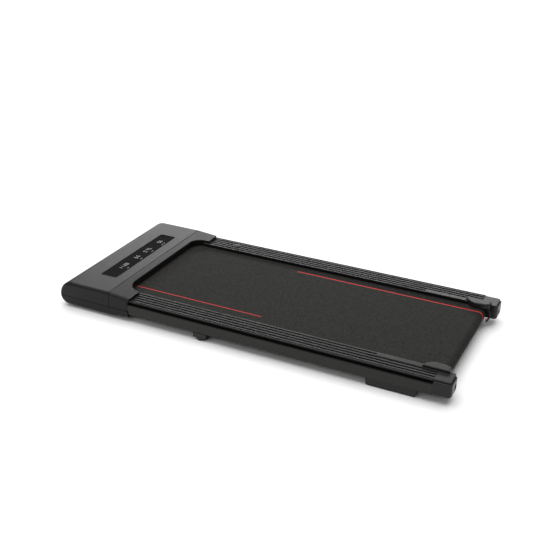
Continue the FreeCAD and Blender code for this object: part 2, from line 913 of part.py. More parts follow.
def make_motor():
    can = turned("motor_can", "Y", ring(can_span, S.motor_radius - S.motor_wall, S.motor_radius))
    place(can, motor_x, 0, motor_z)
    keep(can)
    bore = S.motor_shaft_radius + S.running_gap
    bells = []
    for index, span in enumerate(((bell_low, can_span[0]), (can_span[1], bell_high))):
        bell = turned(f"motor_bell_{index}", "Y", ring(span, bore, S.motor_radius))
        place(bell, motor_x, 0, motor_z)
        bells.append(bell)
    group("motor_end_bells", bells)
    core = (can_span[0] + S.armature_end_gap, can_span[1] - S.armature_end_gap)
    shaft = (fan_span[0] - S.shaft_end, pulley_span[1] + S.shaft_end)
    rotor = turned("motor_rotor", "Y", [
        (shaft[0], 0), (shaft[0], S.motor_shaft_radius), (core[0], S.motor_shaft_radius),
        (core[0], S.armature_radius), (core[1], S.armature_radius), (core[1], S.motor_shaft_radius),
        (shaft[1], S.motor_shaft_radius), (shaft[1], 0)])
    place(rotor, motor_x, 0, motor_z)
    keep(rotor)
    web = (fan_span[1] - S.fan_web, fan_span[1])
    rim = S.fan_radius - S.fan_web
    hub = bore + S.fan_web
    fan = turned("motor_fan", "Y", [
        (fan_span[0], bore), (fan_span[0], hub), (web[0], hub), (web[0], rim), (fan_span[0], rim),
        (fan_span[0], S.fan_radius), (web[1], S.fan_radius), (web[1], bore)])
    place(fan, motor_x, 0, motor_z)
    keep(fan)


def make_motor_saddles():
    seat = S.motor_radius + S.running_gap
    half = S.saddle_width / 2
    shoulder = motor_z - seat.leg(half)
    outline = [(motor_x - half, tray_top), (motor_x + half, tray_top), (motor_x + half, shoulder),
               (motor_x - half, shoulder, seat, -1)]
    ends = (can_span[0] + S.saddle_end_gap, can_span[1] - S.saddle_end_gap - S.saddle_length)
    group("motor_saddles", [prism(f"motor_saddle_{index}", "XZ", (y, y + S.saddle_length), outline)
                            for index, y in enumerate(ends)])


# Foot rails and their trim


def make_foot_rail(hand, side):
    groove = S.rail_top - S.groove_depth
    web = groove - S.rail_web
    skirt = belt_top + S.skirt_gap
    points = [(rail_inner, skirt), (rail_inner, S.rail_top)]
    rib_end = rail_inner + S.rib_width
    starts = [rail_inner + S.rib_pitch * index for index in range(1, RIB_COUNT)]
    for start in (*starts, half_frame - S.edge_rib_width):
        points += [(rib_end, S.rail_top), (rib_end + S.rib_draft, groove),
                   (start - S.rib_draft, groove), (start, S.rail_top)]
        rib_end = start + S.rib_width
    lip = S.rail_top - S.rail_lip
    leg = half_frame - S.rail_recess
    deck_leg = deck_half - S.deck_leg_inset
    points += [
        (half_frame, S.rail_top), (half_frame, lip), (leg, lip), (leg, member_top),
        (leg - S.rail_leg, member_top), (leg - S.rail_leg, web), (deck_leg, web), (deck_leg, deck_top),
        (deck_leg - S.deck_leg, deck_top), (deck_leg - S.deck_leg, web),
        (rail_inner + S.skirt_thickness, web), (rail_inner + S.skirt_thickness, skirt)]
    outline = [(y * side, z) for y, z in points]
    keep(prism(f"{hand}_foot_rail", "YZ", (rail_front_x, cap_front_x), outline))


def make_edge_strips():
    end = rear_x - S.strip_rear_gap
    z = (S.rail_top, S.rail_top + S.strip_thickness)
    strips = []
    for hand, side in SIDES:
        y = mirrored(side, rail_inner, rail_inner + S.strip_width)
        strip = prism(f"{hand}_edge_strip", "XY", z, rectangle((end - S.strip_length, end), y))
        round_edges(strip, S.strip_edge, lambda b: b.ZMin > S.rail_top.value)
        strips.append(strip)
    group("edge_strips", strips)


def make_rail_plug():
    dome = S.plug_height - S.plug_rim
    radius = (S.plug_radius * S.plug_radius + dome * dome) / (2 * dome)
    plug = turned("rail_plug", "Z", [(0, 0), (0, S.plug_radius), (S.plug_rim, S.plug_radius),
                                     (S.plug_height, 0, radius, 1)])
    place(plug, hood_rear_x + S.plug_hood_gap, half_frame - S.plug_inset, S.rail_top)
    keep(plug)


def make_rear_cap(hand, side):
    y_inner = rail_inner + S.cap_inner_step
    y = mirrored(side, y_inner, half_frame)
    z = (member_bottom - S.cap_drop, S.rail_top)
    corner = S.cap_corner + S.cap_bottom_margin
    outline = [(y[0] + corner, z[0], corner, 1), (y[1] - corner, z[0]), (y[1], z[0] + corner, corner, 1),
               (y[1], z[1]), (y[0], z[1]), (y[0], z[0] + corner)]
    cap = prism(f"{hand}_rear_cap", "YZ", (cap_front_x, rear_x), outline)
    round_edges(cap, S.cap_corner, lambda b: b.XMin > rear_x.value - S.running_gap.value
                and b.ZMin < axle_z.value)
    front = cap_front_x - S.cut_overrun
    behind = rear_x + S.cut_overrun
    beside = half_frame + S.cut_overrun
    inside = y_inner - S.cut_overrun
    plate_x = rear_x - S.cap_lip_width
    plate_y = half_frame - S.cap_lip_width
    plate_corner = S.cap_corner - S.cap_lip_width
    lip_top = S.rail_top - S.cap_lip_drop
    cut(cap, "XY", (lip_top, S.rail_top + S.cut_overrun), [
        (front, plate_y * side), (plate_x - plate_corner, plate_y * side),
        (plate_x, (plate_y - plate_corner) * side, plate_corner, -side), (plate_x, inside * side),
        (behind, inside * side), (behind, beside * side), (front, beside * side)])
    lip_middle = S.cap_lip_width / 2
    round_edges(cap, S.cap_edge, lambda b: abs(b.ZMin - lip_top.value) + b.ZLength < S.running_gap.value
                and b.XMax > cap_front_x.value + S.running_gap.value
                and (max(-b.YMin, b.YMax) > (half_frame - lip_middle).value
                     or b.XMax > (rear_x - lip_middle).value))
    hollow = rounded_rectangle((y[0] + S.cap_wall, y[1] - S.cap_wall),
                               (z[0] + S.cap_wall, lip_top - S.cap_wall), corner - S.cap_wall)
    cut(cap, "YZ", (cap_front_x - S.cut_overrun, rear_x - S.cap_rear_wall), hollow)
    slot = S.axle_radius + S.axle_slot_margin
    cut(cap, "XZ", mirrored(side, y_inner - S.cut_overrun, y_inner + S.cap_wall + S.cut_overrun),
        rectangle((cap_front_x - S.cut_overrun, rear_axle_x + slot + S.rear_slot_travel),
                  around(axle_z, 2 * slot)))
    cut(cap, "YZ", (rear_x - S.cap_rear_wall - S.cut_overrun, rear_x + S.cut_overrun),
        rounded_rectangle(around(bolt_y * side, S.tool_hole_width), around(axle_z, S.tool_hole_height),
                          S.tool_hole_width / 2 - S.part_gap))
    keep(cap)


def make_roller_guard(hand, side):
    outer = rail_inner + S.guard_outer_step
    tip = rail_inner - S.guard_overhang
    front = rear_x - S.guard_rear_gap - S.guard_length
    rear = rear_x - S.guard_rear_gap
    run = S.guard_length * GUARD_PEAK_SHARE
    peak = front + run
    depth = outer - tip
    bow = (run * run + depth * depth) / (2 * depth)
    rear_run = rear - peak
    taper = (rear_run * rear_run + S.guard_taper * S.guard_taper) / (2 * S.guard_taper)
    corner = tip + S.guard_taper
    top = S.rail_top + S.guard_height
    edge = [(peak, tip * side, bow, side), (rear, corner * side, taper, side)]
    guard = prism(f"{hand}_roller_guard", "XY", (S.rail_top, top),
                  [(front, outer * side), *edge, (rear, outer * side)])
    skirt = rail_inner - S.part_gap
    add(guard, "XY", (belt_top + S.guard_belt_gap, S.rail_top),
        [(peak - bow.leg(tip + bow - skirt), skirt * side), *edge, (rear, skirt * side)])
    round_edges(guard, S.guard_corner, lambda b: b.XMin > rear.value - S.running_gap.value
                and b.YLength < S.running_gap.value
                and abs(abs(b.YMin) - corner.value) < S.running_gap.value)
    round_edges(guard, S.guard_edge, lambda b: b.ZMin > top.value - S.guard_edge.value)
    inner = S.roller_radius + S.part_gap + S.belt_thickness + S.curl_gap
    shell = inner + S.curl_thickness
    points = []
    for reach, angle in ((inner, CURL_TIP_ANGLE), (shell, CURL_TIP_ANGLE), (shell, CURL_ROOT_ANGLE),
                         (inner, CURL_ROOT_ANGLE)):
        across, along = reach.turned_by(angle)
        points.append((rear_axle_x + across, axle_z + along))
    curl = [(*points[0], inner, -1), points[1], (*points[2], shell, 1), points[3]]
    add(guard, "XZ", mirrored(side, rail_inner - S.curl_overhang,
                              rail_inner + S.cap_inner_step - S.curl_cap_gap), curl)
    keep(guard)


# Feet


def make_front_feet():
    x = nose_x + S.front_foot_from_nose
    brackets = []
    for hand, side in SIDES:
        brackets.append(box(f"{hand}_foot_bracket", around(x, S.front_foot_length),
                            mirrored(side, member_inner, half_frame), (S.front_pad_height, member_bottom)))
        edge = S.front_pad_edge
        pad = turned(f"{hand}_front_pad", "Z", [
            (0, 0), (0, S.front_pad_radius - edge), (edge, S.front_pad_radius, edge, 1),
            (S.front_pad_height, S.front_pad_radius), (S.front_pad_height, 0)])
        place(pad, x, (half_frame - S.front_pad_radius) * side, 0)
        keep(pad)
    group("front_foot_brackets", brackets)


def make_rear_foot(hand, side):
    end = rear_x - S.rear_foot_rear_gap
    start = end - S.rear_foot_length
    corner = S.rear_foot_corner
    outline = [(start + corner, 0, corner, 1), (end - corner, 0), (end, corner, corner, 1),
               (end, member_bottom), (start, member_bottom), (start, corner)]
    outer = half_frame - S.rear_foot_set_in
    keep(prism(f"{hand}_rear_foot", "XZ", mirrored(side, outer - S.rear_foot_width, outer), outline))


# Head shell


def side_edges(bottom):
    """Edges along the two side faces of the head, above or below the parting line."""
    def chosen(b):
        on_side = b.YLength < S.running_gap.value and abs(abs(b.YMin) - head_half.value) < S.running_gap.value
        upright = b.XLength < S.running_gap.value
        on_parting = b.ZLength < S.running_gap.value and abs(b.ZMin - bottom.value) < S.running_gap.value
        return on_side and not upright and not on_parting
    return chosen


def seam_edges(x):
    """Edges of a cover's end face at the seam, apart from the one on the parting line."""
    def chosen(b):
        on_seam = b.XLength < S.running_gap.value and abs(b.XMin - x.value) < S.running_gap.value
        return on_seam and b.ZMax > cover_bottom.value + S.running_gap.value
    return chosen


def hood_top_edges(b):
    """The hood's top edges round the belt notch and along its rear."""
    near_top = b.ZMin > S.rail_top.value + S.rail_cover_gap.value + S.hood_edge.value
    past_lip = b.XMin > lip_x.value - S.running_gap.value
    return near_top and past_lip and abs(b.YMin) < core_half.value and abs(b.YMax) < core_half.value


def nose_arc_x(z):
    return nose_x + upper_nose - upper_nose.leg(z - cover_bottom)


def make_front_cover():
    skin = S.shell_wall + S.skin_extra
    outline = [(cover_rear_x, cover_bottom), (nose_x, cover_bottom),
               (nose_x + upper_nose, S.head_top, upper_nose, -1), (cover_rear_x, S.head_top)]
    cover = prism("hood_front_cover", "XZ", spread(head_half), outline)
    round_edges(cover, S.head_edge, side_edges(cover_bottom))
    round_edges(cover, S.seam_edge, seam_edges(cover_rear_x))
    below = cover_bottom - S.cut_overrun
    behind = cover_rear_x + S.cut_overrun
    cut(cover, "XZ", spread(bay_half),
        rectangle((member_front_x - S.member_clear, behind), (below, member_top + S.member_clear)))
    inner_nose = upper_nose - S.shell_wall
    ceiling = S.head_top - skin
    cut(cover, "XZ", spread(core_half), [
        (behind, below), (nose_x + S.shell_wall, below), (nose_x + S.shell_wall, cover_bottom),
        (nose_x + upper_nose - inner_nose.leg(upper_nose - skin), ceiling, inner_nose, -1),
        (behind, ceiling)])
    length = S.display_length / 2
    width = S.display_width / 2
    rim = S.ledge_rim
    add(cover, "XY", (ledge_bottom, ceiling),
        rectangle(around(display_x, 2 * (length + rim)), spread(width + rim)))
    cut(cover, "XY", (lens_bottom, S.head_top + S.cut_overrun),
        rounded_rectangle(around(display_x, S.display_length), spread(width), S.display_corner))
    cut(cover, "XY", (ledge_bottom - S.cut_overrun, lens_bottom),
        rectangle(around(display_x, S.display_length - 2 * S.ledge_width), spread(width - S.ledge_width)))
    inset = S.board_boss_inset - S.ledge_rim
    bosses = []
    for x_side in (-1, 1):
        for _, side in SIDES:
            bosses.append(lambda sketch, x_side=x_side, side=side: draw_circle(
                sketch, display_x + (length - inset) * x_side, (width - inset) * side, S.board_boss_radius))
    add(cover, "XY", (board_top, ledge_bottom), *bosses)
    cut(cover, "XZ", panel_y, rectangle((nose_x - S.cut_overrun, panel_x), panel_z))
    keep(cover)


def make_rear_cover():
    top_rear = S.head_top - S.hood_rear_drop
    outline = [(hood_front_x, cover_bottom), (hood_front_x, S.head_top), (hood_rear_x, top_rear),
               (side_rear_x, cover_bottom)]
    cover = prism("hood_rear_cover", "XZ", spread(head_half), outline)
    round_edges(cover, S.head_edge, side_edges(cover_bottom))
    round_edges(cover, S.seam_edge, seam_edges(hood_front_x))
    front = hood_front_x - S.cut_overrun
    behind = hood_rear_x + S.cut_overrun
    curtain = belt_top + S.curtain_gap
    ceiling = S.rail_top + S.rail_cover_gap
    half = rail_inner + S.notch_rail_step
    corner = S.notch_corner
    open_x = hood_rear_x + corner
    wall = S.shell_wall
    cut(cover, "XZ", spread(bay_half), rectangle((front, behind), (cover_bottom - S.cut_overrun, curtain)))
    cut(cover, "XY", (curtain, ceiling), [
        (front, -bay_half), (open_x, -bay_half), (open_x, -half - wall), (lip_x + corner, -half - wall),
        (lip_x - wall, -half + corner, corner + wall, -1), (lip_x - wall, half - corner),
        (lip_x + corner, half + wall, corner + wall, -1), (open_x, half + wall), (open_x, bay_half),
        (front, bay_half)])
    cut(cover, "XY", (curtain - S.cut_overrun, S.head_top + S.cut_overrun), [
        (open_x, -half), (open_x, half), (lip_x + corner, half), (lip_x, half - corner, corner, 1),
        (lip_x, corner - half), (lip_x + corner, -half, corner, 1)])
    round_edges(cover, S.hood_edge, hood_top_edges)
    for _, side in SIDES:
        cut(cover, "XZ", mirrored(side, rail_inner - S.rail_cover_gap, bay_half),
            rectangle((rail_front_x - S.rail_cover_gap, behind), (curtain - S.cut_overrun, ceiling)))
    lip_top = S.head_top - S.shell_wall - S.skin_extra - S.part_gap
    add(cover, "XZ", spread(core_half - S.core_margin),
        rectangle((hood_front_x - S.seam_gap - S.seam_lip_length, hood_front_x + S.shell_wall),
                  (lip_top - S.seam_lip_thickness, lip_top)))
    cut(cover, "YZ", (lip_x - wall - S.cut_overrun, lip_x + S.cut_overrun),
        lambda sketch: draw_circle(sketch, 0, eye_z, S.eye_radius + S.running_gap))
    keep(cover)


eye_z = S.head_top - S.hood_rear_drop - S.eye_drop


def make_eye():
    keep(rod("infrared_window", "X", S.eye_radius, (lip_x - S.shell_wall, lip_x + S.eye_proud), (0, eye_z)))


def wheel_slot(side):
    half = S.wheel_width / 2 + S.wheel_side_gap
    return mirrored(side, wheel_y - half, wheel_y + half)


def make_pan():
    rear_bottom = S.head_bottom + S.pan_rear_rise
    outline = [(side_rear_x, S.parting_height), (nose_x, S.parting_height),
               (nose_x + lower_nose, S.head_bottom, lower_nose, 1), (seam_x, S.head_bottom),
               (side_rear_x, rear_bottom)]
    pan = prism("head_pan", "XZ", spread(head_half), outline)
    round_edges(pan, S.head_edge, side_edges(S.parting_height))
    above = S.parting_height + S.cut_overrun
    behind = side_rear_x + S.cut_overrun
    wall = S.shell_wall
    cut(pan, "XZ", spread(bay_half),
        rectangle((member_front_x - S.member_clear, behind), (member_bottom - S.member_clear, above)))
    cut(pan, "XZ", spread(core_half), [
        (behind, above), (nose_x + wall, above), (nose_x + wall, S.parting_height),
        (nose_x + lower_nose, pan_floor, lower_nose - wall, 1), (seam_x, pan_floor),
        (side_rear_x, rear_bottom + wall), (behind, rear_bottom + wall)])
    for _, side in SIDES:
        cut(pan, "XZ", mirrored(side, head_half - S.seam_groove, head_half + S.cut_overrun),
            rectangle((cover_rear_x, hood_front_x), (S.head_bottom - S.cut_overrun, above)))
    ear_x = (wheel_x - S.ear_front, wheel_x + S.ear_rear)
    ear_z = (pan_floor - wall / 2, wheel_z + S.ear_top)
    for _, side in SIDES:
        low, high = wheel_slot(side)
        add(pan, "XZ", (low - S.ear_thickness, high + S.ear_thickness), rectangle(ear_x, ear_z))
    for _, side in SIDES:
        low, high = wheel_slot(side)
        cut(pan, "XZ", (low, high),
            rectangle((nose_x - S.cut_overrun, wheel_x + S.wheel_radius + S.slot_gap),
                      (S.head_bottom - S.cut_overrun, S.parting_height - S.slot_bridge)))
        cut(pan, "XZ", (low - S.ear_thickness - S.cut_overrun, high + S.ear_thickness + S.cut_overrun),
            lambda sketch: draw_circle(sketch, wheel_x, wheel_z, S.wheel_pin_radius + S.running_gap))
    cut(pan, "XY", (S.head_bottom - S.cut_overrun, pan_floor + S.cut_overrun), *pan_screw_holes())
    keep(pan)


def pan_screw_places():
    x = (tray_span[0] + S.pan_screw_inset, tray_span[1] - S.pan_screw_inset)
    y = member_inner - S.pan_screw_inset
    return [(place_x, y * side) for place_x in x for _, side in SIDES]


def pan_screw_holes():
    radius = S.pan_screw_radius + S.running_gap
    return [lambda sketch, x=x, y=y: draw_circle(sketch, x, y, radius) for x, y in pan_screw_places()]


def make_pan_screws():
    head = (S.head_bottom - S.pan_screw_head_height, S.head_bottom)
    group("pan_screws", [
        screw(f"pan_screw_{index}", "Z", head, S.pan_screw_head_radius, (S.head_bottom, tray_top),
              S.pan_screw_radius, (x, y))
        for index, (x, y) in enumerate(pan_screw_places())])


# Display


def make_display():
    gap = S.lens_gap
    lens = prism("display_lens", "XY", (lens_bottom, lens_bottom + S.lens_thickness), rounded_rectangle(
        around(display_x, S.display_length - 2 * gap), spread(S.display_width / 2 - gap),
        S.display_corner - gap))
    keep(lens)
    keep(box("display_board", around(display_x, S.display_length + 2 * S.ledge_rim),
             spread(S.display_width / 2 + S.ledge_rim), (board_top - S.board_thickness, board_top)))
    group("digit_modules", [
        box(f"digit_module_{index}", around(display_x, S.digit_length),
            around(S.display_width * share, S.digit_width), (board_top, board_top + S.digit_height))
        for index, share in enumerate(DIGIT_SHARES)])


# Inlet panel and switch


def make_inlet_panel():
    gap = S.part_gap
    z = (panel_z[0] + gap, panel_z[1] - gap)
    y = (panel_y[0] + gap, panel_y[1] - gap)
    panel = prism("inlet_panel", "XZ", y, [
        (panel_x, z[0]), (nose_arc_x(z[0]), z[0]), (nose_arc_x(z[1]), z[1], upper_nose, -1), (panel_x, z[1])])
    wall = S.panel_wall
    cut(panel, "XZ", (y[0] + wall, y[1] - wall),
        rectangle((nose_x - S.cut_overrun, panel_face_x), (z[0] + wall, z[1] - wall)))
    through = (panel_face_x - S.cut_overrun, panel_x + S.cut_overrun)
    cut(panel, "YZ", through,
        rectangle(around(inlet_y, S.inlet_width), around(panel_middle, S.inlet_height)),
        rectangle(around(switch_y, S.switch_width), around(panel_middle, S.switch_height)))
    keep(panel)


def make_housing(label, y, width, height, depth, wall, back):
    """A flanged box that drops into the panel, open at the front."""
    margin = S.inlet_flange_margin
    housing = prism(label, "YZ", (panel_face_x, panel_face_x + depth),
                    rectangle(around(y, width), around(panel_middle, height)))
    add(housing, "YZ", (inlet_front_x, panel_face_x),
        rectangle(around(y, width + 2 * margin), around(panel_middle, height + 2 * margin)))
    cut(housing, "YZ", (inlet_front_x - S.cut_overrun, panel_face_x + depth - back),
        rectangle(around(y, width - 2 * wall), around(panel_middle, height - 2 * wall)))
    return housing


def make_inlet():
    keep(make_housing("power_inlet", inlet_y, S.inlet_width, S.inlet_height, S.inlet_body_depth,
                      S.inlet_wall, S.inlet_back))
    back = panel_face_x + S.inlet_body_depth - S.inlet_back
    group("inlet_pins", [
        box(f"inlet_pin_{index}", (back - S.inlet_pin_length, back),
            around(inlet_y + S.inlet_pin_pitch * step, S.inlet_pin_width),
            around(panel_middle, S.inlet_pin_height))
        for index, step in enumerate((-1, 0, 1))])


def make_switch():
    bezel = make_housing("switch_bezel", switch_y, S.switch_width, S.switch_height, S.switch_depth,
                         S.switch_wall, S.switch_wall)
    half_width = S.switch_width / 2
    pin_hole = S.rocker_pin_radius + S.running_gap
    cut(bezel, "XZ", (switch_y - half_width - S.cut_overrun, switch_y + half_width + S.cut_overrun),
        lambda sketch: draw_circle(sketch, rocker_x, panel_middle, pin_hole))
    keep(bezel)
    half_height = S.switch_height / 2 - S.switch_wall - S.rocker_end_gap
    half_opening = half_width - S.switch_wall
    reach = half_opening - S.rocker_side_gap
    rocker = prism("rocker_switch", "XZ", spread(reach), [
        (-S.rocker_front, -half_height), (S.rocker_dip - S.rocker_front, 0), (-S.rocker_front, half_height),
        (S.rocker_back, half_height), (S.rocker_back, -half_height)])
    add(rocker, "XZ", spread(half_opening + S.rocker_pin_length),
        lambda sketch: draw_circle(sketch, 0, 0, S.rocker_pin_radius))
    rocker.Placement = FreeCAD.Placement(
        FreeCAD.Vector(), FreeCAD.Rotation(FreeCAD.Vector(0, 1, 0), ROCKER_TILT))
    place(rocker, rocker_x, switch_y, panel_middle)
    keep(rocker)


# Transport wheels


def make_wheels():
    pins = []
    edge = S.wheel_edge
    half = S.wheel_width / 2
    bore = S.wheel_pin_radius + S.running_gap
    web = S.wheel_web / 2
    rim = S.wheel_radius - S.wheel_rim
    for hand, side in SIDES:
        wheel = turned(f"{hand}_wheel", "Y", [
            (-half, bore), (-half, S.wheel_hub_radius), (-web, S.wheel_hub_radius), (-web, rim), (-half, rim),
            (-half, S.wheel_radius - edge), (edge - half, S.wheel_radius, edge, -1),
            (half - edge, S.wheel_radius), (half, S.wheel_radius - edge, edge, -1), (half, rim), (web, rim),
            (web, S.wheel_hub_radius), (half, S.wheel_hub_radius), (half, bore)])
        place(wheel, wheel_x, wheel_y * side, wheel_z)
        keep(wheel)
        low, high = wheel_slot(side)
        pins.append(rod(f"{hand}_wheel_pin", "Y", S.wheel_pin_radius,
                        (low - S.ear_thickness, high + S.ear_thickness), (wheel_x, wheel_z)))
    group("wheel_pins", pins)


# Controller


controller_left = S.controller_inset - member_inner
controller_front = tray_span[0] + S.controller_front_gap
controller_y = (controller_left, controller_left + S.controller_length)
controller_x = (controller_front, controller_front + S.controller_width)
controller_bottom = tray_top + S.standoff_height
controller_top = controller_bottom + S.board_thickness


def make_controller():
    keep(box("controller_board", controller_x, controller_y, (controller_bottom, controller_top)))
    inset = S.standoff_inset
    places = [(x, y) for x in (controller_x[0] + inset, controller_x[1] - inset)
              for y in (controller_y[0] + inset, controller_y[1] - inset)]
    group("controller_standoffs", [
        rod(f"standoff_{index}", "Z", S.standoff_radius, (tray_top, controller_bottom), spot)
        for index, spot in enumerate(places)])
    make_heat_sink()
    make_board_parts()


sink_x = (controller_x[0] + S.sink_inset, controller_x[0] + S.sink_inset + S.sink_width)
sink_y = (controller_y[0] + S.sink_inset, controller_y[0] + S.sink_inset + S.sink_length)


def make_heat_sink():
    base = controller_top + S.sink_base
    top = controller_top + S.sink_height
    pitch = (S.sink_width - S.fin_thickness) / (FIN_COUNT - 1)
    points = [(sink_x[0], controller_top)]
    for index in range(FIN_COUNT):
        start = sink_x[0] + pitch * index
        end = start + S.fin_thickness
        if index:
            points.append((start, base))
        points += [(start, top), (end, top)]
        if index < FIN_COUNT - 1:
            points.append((end, base))
    points.append((sink_x[1], controller_top))
    keep(prism("heat_sink", "XZ", sink_y, points))


def make_board_parts():
    middle = (sink_x[1] + controller_x[1]) / 2
    start = controller_y[0] + S.sink_inset + S.capacitor_radius
    gap = S.sink_inset / 2
    members = []
    for index in range(2):
        y = start + (S.capacitor_radius * 2 + gap) * index
        members.append(rod(f"capacitor_{index}", "Z", S.capacitor_radius,
                           (controller_top, controller_top + S.capacitor_height), (middle, y)))
    for index in range(2):
        y = controller_y[1] - S.sink_inset - S.relay_length - (S.relay_length + gap) * index
        members.append(box(f"relay_{index}", around(middle, S.relay_width), (y, y + S.relay_length),
                           (controller_top, controller_top + S.relay_height)))
    group("controller_parts", members)


def make_leads():
    bend = S.lead_bend
    wire_x = motor_x - S.motor_radius + S.lead_radius
    landing = controller_y[1] - S.lead_edge_gap
    motor_lead = piped(
        "motor_lead", "YZ", wire_x,
        [(bell_low, motor_z), (landing + bend, motor_z), (landing, motor_z - bend, bend, 1),
         (landing, controller_top)],
        "XZ", -bell_low, (wire_x, motor_z))
    inlet_back = panel_face_x + S.inlet_body_depth
    landing = controller_x[0] + S.lead_edge_gap
    inlet_lead = piped(
        "inlet_lead", "XZ", -inlet_y,
        [(inlet_back, panel_middle), (landing - bend, panel_middle), (landing, panel_middle - bend, bend, -1),
         (landing, controller_top)],
        "YZ", inlet_back, (inlet_y, panel_middle))
    board_bottom = board_top - S.board_thickness
    start = controller_x[1] - S.lead_edge_gap
    landing = controller_y[1] - S.lead_edge_gap
    level = (board_bottom + controller_top) / 2
    top_y = landing + S.lead_jog
    display_lead = piped(
        "display_lead", "YZ", start,
        [(top_y, board_bottom), (top_y, level + bend), (top_y - bend, level, bend, -1),
         (landing + bend, level), (landing, level - bend, bend, 1), (landing, controller_top)],
        "XY", board_bottom, (start, top_y))
    group("internal_leads", [motor_lead, inlet_lead, display_lead])


def make_all():
    for hand, side in SIDES:
        make_side_member(hand, side)
        make_foot_rail(hand, side)
        make_rear_cap(hand, side)
        make_roller_guard(hand, side)
        make_rear_foot(hand, side)
        make_tension_bolt(hand, side)
    make_cross_members()
    make_deck()
    make_deck_cushions()
    make_deck_screws()
    make_motor_tray()
    make_front_axle_brackets()
    make_rear_axle_brackets()
    make_axles()
    make_roller("front", front_axle_x, (-roller_half, tube_high))
    make_roller("rear", rear_axle_x, spread(roller_half))
    make_running_belt()
    make_pulleys()
    make_drive_belt()
    make_motor()
    make_motor_saddles()
    make_edge_strips()
    make_rail_plug()
    make_front_feet()
    make_front_cover()
    make_rear_cover()
    make_eye()
    make_pan()
    make_pan_screws()
    make_display()
    make_inlet_panel()
    make_inlet()
    make_switch()
    make_wheels()
    make_controller()
    make_leads()


def check_document():
    for obj in doc.Objects:
        if {"Invalid", "Error"} & set(obj.State):
            raise RuntimeError(f"{obj.Label} failed to recompute")
    for obj in nodes:
        if obj.Shape.isNull() or not obj.Shape.isValid():
            raise RuntimeError(f"{obj.Label} has no valid shape")


def write_parts():
    os.makedirs("parts", exist_ok=True)
    for obj in nodes:
        obj.Shape.exportStep(f"parts/{obj.Label}.step")


make_all()
doc.recompute()
check_document()
write_parts()
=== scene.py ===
import json
import math

import bmesh
import bpy
from mathutils import Matrix, Vector
from mathutils.geometry import tessellate_polygon


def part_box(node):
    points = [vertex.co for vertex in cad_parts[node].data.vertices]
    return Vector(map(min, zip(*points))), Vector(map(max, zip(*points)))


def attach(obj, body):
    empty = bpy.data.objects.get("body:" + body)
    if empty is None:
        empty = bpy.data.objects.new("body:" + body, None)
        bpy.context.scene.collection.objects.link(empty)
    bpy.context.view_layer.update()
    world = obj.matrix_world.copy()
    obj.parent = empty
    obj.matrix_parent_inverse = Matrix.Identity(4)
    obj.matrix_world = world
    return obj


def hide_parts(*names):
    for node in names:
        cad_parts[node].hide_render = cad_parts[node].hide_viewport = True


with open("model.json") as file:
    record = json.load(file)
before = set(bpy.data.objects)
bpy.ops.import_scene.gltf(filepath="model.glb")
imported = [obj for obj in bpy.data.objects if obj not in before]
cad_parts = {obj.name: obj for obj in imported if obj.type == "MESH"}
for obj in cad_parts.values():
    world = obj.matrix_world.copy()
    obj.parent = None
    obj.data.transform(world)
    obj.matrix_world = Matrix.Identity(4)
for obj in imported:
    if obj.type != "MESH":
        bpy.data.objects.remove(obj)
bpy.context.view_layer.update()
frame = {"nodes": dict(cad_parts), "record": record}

# Lengths are in metres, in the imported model's frame: the head is at -X and the user's right is +Y.
nodes = frame["nodes"]


# Node trees


class Value:
    """A socket in a node tree; arithmetic on it adds Math nodes."""

    def __init__(self, net, socket):
        self.net = net
        self.socket = socket

    def math(self, operation, *others, clamp=False):
        terms = dict(enumerate((self, *others)))
        return self.net.node("ShaderNodeMath", {"operation": operation, "use_clamp": clamp}, terms)

    def __add__(self, other):
        return self.math("ADD", other)

    __radd__ = __add__

    def __sub__(self, other):
        return self.math("SUBTRACT", other)

    def __rsub__(self, other):
        return (self * -1) + other

    def __mul__(self, other):
        return self.math("MULTIPLY", other)

    __rmul__ = __mul__

    def __truediv__(self, other):
        return self.math("DIVIDE", other)

    def __abs__(self):
        return self.math("ABSOLUTE")

    def __lt__(self, other):
        return self.math("LESS_THAN", other)

    def __gt__(self, other):
        return self.math("GREATER_THAN", other)

    def root(self):
        return self.math("SQRT")

    def limited(self):
        return self.math("ADD", 0.0, clamp=True)


class Net:
    """A shader or geometry tree that is filled node by node."""

    def __init__(self, tree):
        self.tree = tree

    def feed(self, socket, value):
        if isinstance(value, Value):
            self.tree.links.new(value.socket, socket)
        else:
            socket.default_value = value

    def node(self, kind, settings=None, sockets=None, out=0):
        made = self.tree.nodes.new(kind)
        for name, value in (settings or {}).items():
            setattr(made, name, value)
        for key, value in (sockets or {}).items():
            self.feed(made.inputs[key], value)
        return Value(self, made.outputs[out])


# Sockets of a Mix node that mixes colours, by their place on the node
MIX_SHARE, MIX_FIRST, MIX_SECOND, MIX_RESULT = 0, 6, 7, 2
BEVEL_SAMPLES = 6
EDGE_CONTRAST = 5
SHADE_REACH = 0.5
PEBBLE_SMOOTHNESS = 0.6


